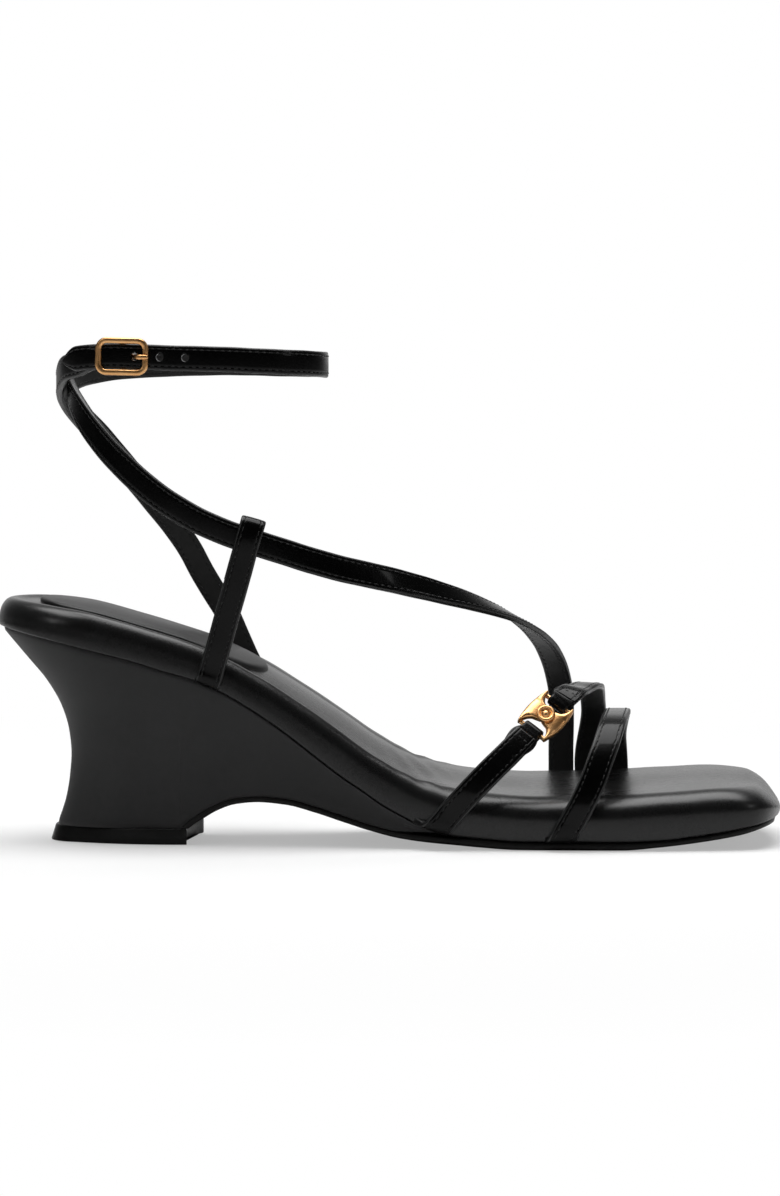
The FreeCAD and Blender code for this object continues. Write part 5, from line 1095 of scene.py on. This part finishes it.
def path_of(rows, step=0.6, end=None):
    """Even sections along a strap table, with normals square to the strap."""
    table = np.array(rows, float)
    edge_a, edge_b, guide = table[:, 0:3], table[:, 3:6], table[:, 6:9]
    run = run_length((edge_a + edge_b) / 2)
    end = run[-1] if end is None else end
    along = np.linspace(0.0, end, int(round(end / step)) + 1)
    a, b = natural(run, edge_a, along), natural(run, edge_b, along)
    guide = unit(natural(run, guide, along))
    for _ in range(6):
        soften(guide)
    centre = (a + b) / 2
    side = unit(b - a)
    normal = unit(np.cross(unit(np.gradient(centre, axis=0)), side))
    # the table's normals tell which face is outward
    normal = normal * np.where((normal * unit(guide)).sum(1) < 0, -1.0, 1.0)[:, None]
    for _ in range(2):
        soften(normal)
        normal = unit(normal)
    return Path(along, centre, side, normal, np.linalg.norm(b - a, axis=1))


def strap_profile(half):
    """Section points (across, out) from the -half edge over the top, and face materials."""
    edge = [(-half + 0.02, 0.06), (-half, 0.30), (-half + 0.07, 0.62),
            (-half + 0.26, 0.85), (-half + 0.55, HALF_THICK - 0.02)]
    q = half - SEAM_INSET
    top = []
    for a in (-half + 0.95, -q - 0.22, -q - 0.10, -q, -q + 0.10, -q + 0.24, -q + 0.7, -q * 0.45,
              0.0, q * 0.45, q - 0.7, q - 0.24, q - 0.10, q, q + 0.10, q + 0.22, half - 0.95):
        groove = 0.09 * (1 - min(abs(abs(a) - q) / 0.24, 1.0)) ** 1.2
        top.append((a, HALF_THICK + CROWN * (1 - (a / half) ** 2) - groove))
    under_edge = [(half - 0.03, -0.05), (half - 0.01, -0.30), (half - 0.08, -0.62),
                  (half - 0.28, -0.84), (half - 0.6, -HALF_THICK + 0.01)]
    under = []
    for a in (half - 1.0, q + 0.12, q, q - 0.12, q - 0.6, q * 0.4, -q * 0.4, -q + 0.6,
              -q + 0.12, -q, -q - 0.12, -half + 1.0):
        under.append((a, -HALF_THICK + 0.05 * (1 - min(abs(abs(a) - q) / 0.14, 1.0))))

    def mirrored(points):
        return [(-a, z) for a, z in reversed(points)]

    points = edge + top + mirrored(edge) + under_edge + under + mirrored(under_edge)
    # 0 outer leather, 1 lining, 2 painted edge
    kinds = [2] * 4 + [0] * (len(top) + 1) + [2] * 9 + [1] * (len(under) + 1) + [2] * 5
    return np.array(points), kinds


def strap_mesh(name, path, half, body, seed, width_at=None, wave=0.05):
    """One closed strap with sewing rows pressed in; seed shifts its slight waviness."""
    profile, kinds = strap_profile(half)
    rings, uvs = [], []
    for s, centre, side, normal, width in zip(*path):
        k = width_at(s) if width_at else 1.0
        y = profile[:, 0] * k * (width / (2 * half))
        y = y + (wave * math.sin(s * 0.55 + seed) * 0.5 + wave * math.sin(s * 0.21 + 2.3 * seed))
        z = profile[:, 1] + 0.5 * wave * math.sin(s * 0.37 + 1.7 * seed)
        rings.append(centre + side * y[:, None] + normal * z[:, None])
        uvs.append(np.c_[np.full(len(y), s), y])
    indices = kinds * (len(rings) - 1) + [2, 2]
    return make(name, tube(rings), body, [STRAP, LINING, EDGE], indices,
                np.concatenate(uvs))


def stitch(start, end, out):
    """A small bent capsule, sunk at its ends."""
    run = end - start
    side = np.cross(unit(run), out)
    rings = []
    for share, size, lift in STITCH_SHAPE:
        centre = start + run * share + out * lift
        rings.append([centre + side * (0.21 * size * math.cos(a))
                      + out * (0.13 * size * math.sin(a))
                      for a in (2 * math.pi * j / 7 for j in range(7))])
    return tube(rings)


def stitches(name, path, half, body, start, end_gap, width_at=None, tack_at=None):
    """Rows along both edges and faces; tack_at adds two stitches across the strap there."""

    def section(s):
        f = np.clip(s / path.along[1], 0, len(path.along) - 1.001)
        i = int(f)
        t = f - i
        centre, side, normal = (v[i] * (1 - t) + v[i + 1] * t for v in path[1:4])
        return centre, unit(side), unit(normal)

    def row_place(s):
        return max(half * (width_at(s) if width_at else 1.0) - SEAM_INSET, 0.05)

    surface = HALF_THICK + CROWN * (1 - ((half - SEAM_INSET) / half) ** 2) - 0.05
    end = path.along[-1] - end_gap
    parts = []
    s = start
    while s + STITCH_PITCH * 0.78 <= end:
        c0, w0, n0 = section(s)
        c1, w1, n1 = section(s + STITCH_LENGTH)
        for sign in (-1, 1):
            p0 = c0 + w0 * (sign * row_place(s))
            p1 = c1 + w1 * (sign * row_place(s + STITCH_LENGTH))
            for lift in (surface, UNDER_STITCH):
                parts.append(stitch(p0 + n0 * lift, p1 + n1 * lift, n0 * math.copysign(1, lift)))
        s += STITCH_PITCH
    if tack_at is not None:
        c, w, n = section(tack_at)
        for y in (-2.0, 0.0):
            parts.append(stitch(c + w * y + n * TACK_HEIGHT,
                                c + w * (y + 2.0 * 0.72) + n * TACK_HEIGHT, n))
    return make(name, joined(parts), body, [THREAD])


def sandal_strap(name, path, half, seed, start=8.0, end_gap=1.5, wave=0.05, tack_at=None):
    """A sewn strap that rides on the sandal."""
    strap = strap_mesh(name, path, half, "sandal", seed, wave=wave)
    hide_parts(name + "_outer", name + "_lining")
    stitches(name.replace("vamp_strap_", "vamp_") + "_stitching", path, half, "sandal",
             start, end_gap, tack_at=tack_at)


def strip(name, rows, body, gap=None):
    """A single leather layer; gap = (from, to) share of its length with a slot for the prong."""
    path = path_of(rows, step=0.25)

    def run(first, last, low=None, high=None):
        rings = []
        for i in range(first, last):
            a = -path.width[i] / 2 if low is None else low
            b = path.width[i] / 2 if high is None else high
            middle = (a + b) / 2
            ring = [(a, -0.2), (a, 0.2), (a + 0.22, 0.42), (a + 0.7, 0.46), (middle, 0.5),
                    (b - 0.7, 0.46), (b - 0.22, 0.42), (b, 0.2), (b, -0.2),
                    (b - 0.25, -0.44), (middle, -0.46), (a + 0.25, -0.44)]
            rings.append(np.array([path.centre[i] + path.across[i] * y + path.normal[i] * z
                                   for y, z in ring]))
        return tube(rings)

    n = len(path.along)
    if gap is None:
        parts = [run(0, n)]
    else:
        first, last = int(n * gap[0]), int(n * gap[1])
        parts = [run(0, first), run(first - 1, last + 1, high=-1.15),
                 run(first - 1, last + 1, low=1.15), run(last, n)]
    return make(name, joined(parts), body, [STRAP])


def placed(axes, u, v, w):
    """Point in hardware axes: along, across, out."""
    origin, along, side, out = axes
    return origin + along * u + side * v + out * w


def loop_rows(axes, sign, bar_u, bar_w, radius, half_wide, half_narrow, tail_to):
    """Strap rows that lap over a bar, turn round it and come back under the strap."""
    # u, w, half width, normal along u, normal along w
    stations = [(bar_u + sign * 2.0, bar_w + radius, half_wide, 0, 1),
                (bar_u + sign * 1.0, bar_w + radius, half_narrow, 0, 1)]
    for i in range(13):
        a = math.pi * i / 12
        nu, nw = -sign * math.sin(a), math.cos(a)
        stations.append((bar_u + radius * nu, bar_w + radius * nw, half_narrow, nu, nw))
    stations.append((bar_u + sign * 1.6, bar_w - radius, half_narrow, 0, -1))
    stations.append((tail_to, bar_w - radius, half_wide, 0, -1))
    return np.array([[*placed(axes, u, -half, w), *placed(axes, u, half, w),
                      *(axes[1] * nu + axes[3] * nw)] for u, w, half, nu, nw in stations])


def lapped(rows):
    """Strap rows moved outward, where a loop lies on the strap."""
    rows = np.array(rows, float)
    rows[:, 0:3] += rows[:, 6:9] * 0.46
    rows[:, 3:6] += rows[:, 6:9] * 0.46
    return rows


def blend_straps(objects):
    """Let strap pieces follow both the sandal and a moving body."""
    for ob in objects:
        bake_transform(ob)


# --- straps in place
STRAP_HALF = 3.9
VAMP_HALF = 3.75
# loop radius: bar radius + clearance + half of the single leather
BUCKLE_LOOP_R = 0.75 + 0.1 + 0.45
BUCKLE_BAR_W = -HALF_THICK - BUCKLE_LOOP_R
LINK_LOOP_R = 0.7 + 0.1 + 0.45
LINK_BAR_W = 0.15 + 0.5 - LINK_LOOP_R
LINK_BAR_U = 6.0
HOLE_FIRST, HOLE_PITCH, HOLE_RADIUS = 3.7, 7.5, 1.15
TIP_LENGTH = 6.5

sandal_strap("toe_strap", path_of(TOE_STRAP), STRAP_HALF, seed=0.7, end_gap=8.0)

# the instep strap ends behind the first section past x = 22 on the way back forward
instep = np.array(INSTEP_STRAP, float)
instep_middle = (instep[:, 0:3] + instep[:, 3:6]) / 2
joint = int(np.argmin(instep_middle[:, 0]))
while instep_middle[joint + 1, 0] <= 22.0:
    joint += 1
instep_path = path_of(INSTEP_STRAP, end=run_length(instep_middle)[joint] + 0.15)
sandal_strap("instep_strap", instep_path, STRAP_HALF, seed=1.9, end_gap=0.95)

ankle_path = path_of(INSTEP_STRAP[joint:] + STRAP_TAIL)
TIP_START = ankle_path.along[-1] - TIP_LENGTH


def tip_width(s):
    """Width share of the ankle strap, narrowing to its tip."""
    if s < TIP_START:
        return 1.0
    return max(0.12, 1 - ((s - TIP_START) / TIP_LENGTH) ** 1.5 * 0.88)


def punch(strap, index):
    """Cut one round hole through the strap at the buckle."""
    _, along, side, out = BUCKLE_AXES
    centre = placed(BUCKLE_AXES, HOLE_FIRST + HOLE_PITCH * index, 0.0, 0.5)
    angles = np.linspace(0, 2 * math.pi, 28, endpoint=False)
    rings = [np.array([centre + out * w + along * HOLE_RADIUS * math.cos(a)
                       + side * HOLE_RADIUS * math.sin(a) for a in angles])
             for w in (-6.0, 6.0)]
    cutter = make("hole_cutter_%d" % index, tube(rings), None, [EDGE], smooth=False)
    cut = strap.modifiers.new("hole", "BOOLEAN")
    cut.operation, cut.solver, cut.object = "DIFFERENCE", "EXACT", cutter
    bpy.context.view_layer.update()
    graph = bpy.context.evaluated_depsgraph_get()
    mesh = bpy.data.meshes.new_from_object(
        strap.evaluated_get(graph), preserve_all_data_layers=True, depsgraph=graph)
    strap.modifiers.clear()
    old = strap.data
    strap.data = mesh
    bpy.data.meshes.remove(old)
    cutter_mesh = cutter.data
    bpy.data.objects.remove(cutter)
    bpy.data.meshes.remove(cutter_mesh)


ankle = strap_mesh("ankle_strap", ankle_path, STRAP_HALF, None, seed=3.1, width_at=tip_width)
for i in range(3):
    punch(ankle, i)
ankle_seams = stitches("ankle_strap_stitching", ankle_path, STRAP_HALF, None,
                       start=1.2, end_gap=2.6, width_at=tip_width)
blend_straps((ankle, ankle_seams))
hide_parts("strap_tail_outer", "strap_tail_lining")

sandal_strap("side_stay", path_of(SIDE_STAY, step=0.4), 3.75, seed=4.4, start=6.0, end_gap=1.0,
             wave=0.03)

sandal_strap("buckle_strap", path_of(BUCKLE_STRAP), 3.8, seed=5.2)
loop = loop_rows(BUCKLE_AXES, -1, 0.0, BUCKLE_BAR_W, BUCKLE_LOOP_R,
                 half_wide=3.75, half_narrow=3.6, tail_to=-5.5)
strip("buckle_strap_loop", np.vstack([lapped(BUCKLE_STRAP[-2:]), loop]), "sandal",
      gap=(0.36, 0.86))

lower_path = path_of(VAMP_LOWER)
sandal_strap("vamp_strap_lower", lower_path, VAMP_HALF, seed=6.6,
             tack_at=lower_path.along[-1] - 2.6)
loop = loop_rows(LINK_AXES, -1, -LINK_BAR_U, LINK_BAR_W, LINK_LOOP_R,
                 half_wide=3.7, half_narrow=3.1, tail_to=-9.6)
strip("vamp_lower_loop", np.vstack([lapped(VAMP_LOWER[-2:]), loop]), "sandal")

# the upper vamp strap is carried by the link
upper_path = path_of(VAMP_UPPER)
upper = strap_mesh("vamp_strap_upper", upper_path, 3.85, None, seed=7.3)
upper_seams = stitches("vamp_upper_stitching", upper_path, 3.85, None,
                       start=1.5, end_gap=8.0, tack_at=2.6)
loop = loop_rows(LINK_AXES, 1, LINK_BAR_U, LINK_BAR_W, LINK_LOOP_R,
                 half_wide=3.7, half_narrow=3.1, tail_to=8.15)
upper_loop = strip("vamp_upper_loop", np.vstack([loop[::-1], lapped(VAMP_UPPER[:2])]), None)
blend_straps((upper, upper_seams, upper_loop))
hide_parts("vamp_strap_upper_outer", "vamp_strap_upper_lining")

# --- buckle
BUCKLE_LONG, BUCKLE_WIDE, WIRE, BUCKLE_CORNER = 15.6, 11.0, 1.6, 2.5
RING_W = 2.35
LUG_V = 4.72
# side lug, from its foot to the ring: w, half size along u, half size along v
LUG = ((-3.55, 0.35, 0.3), (-3.45, 0.75, 0.55), (-3.2, 1.05, 0.68), (-2.7, 1.22, 0.72),
       (-2.0, 1.2, 0.72), (-0.5, 1.0, 0.7), (1.0, 0.98, 0.7), (1.8, 1.15, 0.72),
       (RING_W, 1.5, 0.6))
# middle line of the prong, u and w
PRONG_LINE = np.array([(0.2, -1.15), (0.9, -1.30), (2.0, -1.25), (3.05, -0.8), (3.65, 0.4),
                       (4.0, 1.6), (4.6, 3.1), (5.7, 3.86), (7.0, 3.84), (8.1, 3.70)])


def buckle_ring():
    """A rounded wire loop with a lug each side that carries the bar."""
    u0 = (BUCKLE_LONG - WIRE) / 2 - BUCKLE_CORNER
    v0 = (BUCKLE_WIDE - WIRE) / 2 - BUCKLE_CORNER
    rings = []
    for cu, cv, first in ((u0, v0, 0), (-u0, v0, 90), (-u0, -v0, 180), (u0, -v0, 270)):
        for k in range(13):
            a = math.radians(first + 90 * k / 12)
            nu, nv = math.cos(a), math.sin(a)
            u, v = cu + BUCKLE_CORNER * nu, cv + BUCKLE_CORNER * nv
            rings.append(np.array([
                placed(BUCKLE_AXES, u + nu * r, v + nv * r, RING_W + w - 0.012 * u * u * 0.6)
                for r, w in soft_ring(20, 0.92, 0.78, 0.75)]))
    # cuts along the straight runs keep the wire even
    wire = []
    for a, b in zip(rings, rings[1:] + rings[:1]):
        wire.append(a)
        cuts = int(np.linalg.norm(a.mean(axis=0) - b.mean(axis=0)) / 0.8)
        wire += [a + (b - a) * j / (cuts + 1) for j in range(1, cuts + 1)]
    parts = [tube(wire, "joined")]
    for side in (-1, 1):
        parts.append(tube([
            np.array([placed(BUCKLE_AXES, u, side * LUG_V + v, w)
                      for u, v in soft_ring(20, half_u, half_v, 0.6)])
            for w, half_u, half_v in LUG]))
    return joined(parts)


def buckle_tongue():
    """A bent finger from an eye round the bar."""
    run = run_length(PRONG_LINE)
    at = np.linspace(0, run[-1], 44)
    line = natural(run, PRONG_LINE, at)
    ahead = unit(np.gradient(line, axis=0))
    rings = []
    for i in range(len(at)):
        f = at[i] / run[-1]
        wide = 0.72 * (1.0 if f < 0.8 else 1.0 - 0.35 * ((f - 0.8) / 0.2) ** 1.5)
        high = 0.52 * (1.0 if f < 0.85 else 1.0 - 0.3 * (f - 0.85) / 0.15)
        if i in (0, len(at) - 1):
            wide, high = wide * 0.55, high * 0.5
        rings.append(np.array([
            placed(BUCKLE_AXES, line[i, 0] - ahead[i, 1] * z, y, line[i, 1] + ahead[i, 0] * z)
            for y, z in soft_ring(18, wide, high, 0.7)]))
    eye = []
    for i in range(36):
        a = 2 * math.pi * i / 36
        ring = []
        for j in range(14):
            b = 2 * math.pi * j / 14
            r = 1.2 + 0.38 * math.cos(b)
            ring.append(placed(BUCKLE_AXES, r * math.cos(a), 0.72 * squared(math.sin(b), 0.8),
                               BUCKLE_BAR_W + r * math.sin(a)))
        eye.append(ring)
    return joined([tube(rings), tube(eye, "joined")])


buckle = make("buckle_ring", buckle_ring(), "frame", [GOLD])
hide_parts("buckle_frame")
prong = make("buckle_tongue", buckle_tongue(), "prong", [GOLD])
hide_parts("buckle_prong")

# --- link
LINK_END = 6.95
# boss: radius and w, from its underside over the raised ring to the small dome
BOSS = np.array([
    (0.0, 0.75), (2.3, 0.75), (2.72, 0.8), (2.84, 1.1), (2.84, 1.6), (2.76, 2.0),
    (2.55, 2.3), (2.25, 2.42), (1.95, 2.36), (1.72, 2.12), (1.6, 1.85), (1.48, 1.72),
    (1.3, 1.78), (1.05, 2.02), (0.7, 2.28), (0.35, 2.42), (0.0, 2.46)])


def link_crescents():
    """Two crescents joined across the middle."""
    stations = np.concatenate(
        [[-6.92, -6.86, -6.7], np.linspace(-6.4, 6.4, 57), [6.7, 6.86, 6.92]])
    parts = []
    for side in (-1, 1):
        rings = []
        for u in stations:
            far = 5.15 + 1.15 * (1 - (u / LINK_END) ** 2)
            near = 0.0
            if abs(u) > 2.36:
                near = math.sqrt(max(0.0, 4.6**2 - (abs(u) - 6.9) ** 2))
            if abs(u) <= 2.9:
                near = min(near, max(0.0, (abs(u) - 2.3) / 0.6) * 2.0)
            end = min(1.0, (LINK_END - abs(u)) / 0.45)
            taper = math.sqrt(max(0.0, 1 - (1 - end) ** 2))
            middle = (near + far) / 2
            half = (far - near) / 2 * (0.55 + 0.45 * taper)
            ring = []
            for y, z in soft_ring(24, half, 0.9 * (0.45 + 0.55 * taper), 0.55, 0.7):
                if z > 0:
                    z += 0.42 * max(0.0, 1 - (y / max(half, 0.01)) ** 2)
                ring.append(placed(LINK_AXES, u, side * (middle + y), z))
            rings.append(np.array(ring))
        parts.append(tube(rings))
    return joined(parts)


def link_boss():
    """Raised ring round a small dome."""
    run = run_length(BOSS)
    at = np.linspace(0, run[-1], 60)[1:-1]
    angles = [2 * math.pi * j / 56 for j in range(56)]
    return tube([np.array([placed(LINK_AXES, r * math.cos(a), r * math.sin(a), w)
                           for a in angles])
                 for r, w in zip(Curve(run, BOSS[:, 0])(at), Curve(run, BOSS[:, 1])(at))])


link = make("link_crescents", link_crescents(), "link", [GOLD])
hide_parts("ornament_plate")
boss = make("link_boss", link_boss(), "link", [GOLD])
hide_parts("ornament_boss")


# --- stage, in metres
def floor_material():
    """Pale floor that fades into the white backdrop away from the sandal."""
    mat = Surface("pale_floor")
    place = mat.coord()
    mottle = mat.noise(place, 6.0)
    ray = mat.add("ShaderNodeLightPath").outputs
    seen = mat.mix(mottle, (0.925,) * 3, (0.93,) * 3)
    # darker for light bounced onto the sandal than for the camera
    unseen = mat.mix(ray["Is Glossy Ray"], (0.26,) * 3, (0.76,) * 3)
    mat.finish(Base_Color=mat.mix(ray["Is Camera Ray"], unseen, seen), Roughness=0.9,
               Specular_IOR_Level=0.1)
    white = mat.add("ShaderNodeEmission", {0: (1, 1, 1), 1: 1.0})
    centred = mat.add("ShaderNodeMapping", {"Vector": place, "Location": (-0.08, 0.0, 0.0)})
    distance = mat.add("ShaderNodeVectorMath", {0: centred.outputs[0]}, operation="LENGTH")
    fade = mat.remap(distance.outputs["Value"], 0.40, 1.0, start=0.12, end=0.42)
    share = mat.math("MULTIPLY", fade, ray["Is Camera Ray"])
    mixed = mat.add("ShaderNodeMixShader",
                    {0: share, 1: mat.shader.outputs[0], 2: white.outputs[0]})
    mat.feed(mat.output.inputs[0], mixed.outputs[0])
    return mat.material


def add_floor(half=6, z=-0.0002):
    material = floor_material()
    mesh = bpy.data.meshes.new("floor")
    corners = [(-half, -half, z), (half, -half, z), (half, half, z), (-half, half, z)]
    mesh.from_pydata(corners, [], [(0, 1, 2, 3)])
    mesh.materials.append(material)
    floor = bpy.data.objects.new("floor", mesh)
    bpy.context.scene.collection.objects.link(floor)


def add_world():
    """White to the camera; other rays see grey that brightens towards the inner side (+y)."""
    world = bpy.data.worlds.new("studio")
    scene.world = world
    world.use_nodes = True
    sky = Nodes(world.node_tree)
    output = sky.add("ShaderNodeOutputWorld")
    white = sky.add("ShaderNodeBackground", {0: (1, 1, 1), 1: 1.0})
    ambient = sky.add("ShaderNodeBackground", {1: 1.0})
    way = sky.add("ShaderNodeTexCoord").outputs["Generated"]
    facing = sky.add("ShaderNodeVectorMath", {0: way, 1: (0.0, 0.96, 0.28)},
                     operation="DOT_PRODUCT").outputs["Value"]
    ramp = sky.add("ShaderNodeValToRGB", {0: sky.remap(facing, 0.0, 1.0, start=-1.0, end=1.0)})
    stops = ramp.color_ramp.elements
    stops[0].color = (0.013, 0.013, 0.013, 1)
    stops[1].color = (0.64, 0.64, 0.64, 1)
    for at, grey in ((0.5, 0.03), (0.75, 0.07), (0.88, 0.14), (0.95, 0.34)):
        stops.new(at).color = (grey, grey, grey, 1)
    sky.feed(ambient.inputs[0], ramp.outputs[0])
    camera_ray = sky.add("ShaderNodeLightPath").outputs["Is Camera Ray"]
    mixed = sky.add("ShaderNodeMixShader",
                    {0: camera_ray, 1: ambient.outputs[0], 2: white.outputs[0]})
    sky.feed(output.inputs[0], mixed.outputs[0])


def softbox(name, at, look, width, height, power):
    light = bpy.data.lights.new(name, "AREA")
    light.shape, light.size, light.size_y, light.energy = "RECTANGLE", width, height, power
    ob = bpy.data.objects.new(name, light)
    ob.location = at
    ob.rotation_euler = (Vector(look) - Vector(at)).to_track_quat("-Z", "Y").to_euler()
    scene.collection.objects.link(ob)


def add_camera():
    """Looks from the outer side, slightly down."""
    data = bpy.data.cameras.new("camera")
    data.sensor_width = 36.0
    data.sensor_fit = "AUTO"
    data.lens = 159.5
    data.clip_start, data.clip_end = 0.05, 30.0
    camera = bpy.data.objects.new("camera", data)
    camera.location = (0.0809, -1.6, 0.18)
    camera.rotation_euler = (math.radians(90 - 3.84), 0.0, 0.0)
    scene.collection.objects.link(camera)
    scene.camera = camera


scene = bpy.context.scene
add_floor()
add_world()
softbox("top_box", at=(0.05, 0.10, 1.15), look=(0.08, 0.0, 0.0),
        width=1.1, height=0.9, power=17.0)
softbox("back_box", at=(0.08, 1.35, 0.32), look=(0.08, 0.0, 0.06),
        width=2.4, height=0.6, power=1.0)
softbox("left_box", at=(-0.75, -0.85, 0.70), look=(0.05, 0.0, 0.07),
        width=0.22, height=0.36, power=1.1)
softbox("right_box", at=(1.0, -0.55, 0.55), look=(0.10, 0.0, 0.05),
        width=0.20, height=0.36, power=0.6)
scene.view_settings.view_transform = "Standard"
scene.view_settings.look = "None"
scene.view_settings.exposure = 0.0
scene.view_settings.gamma = 1.0
add_camera()

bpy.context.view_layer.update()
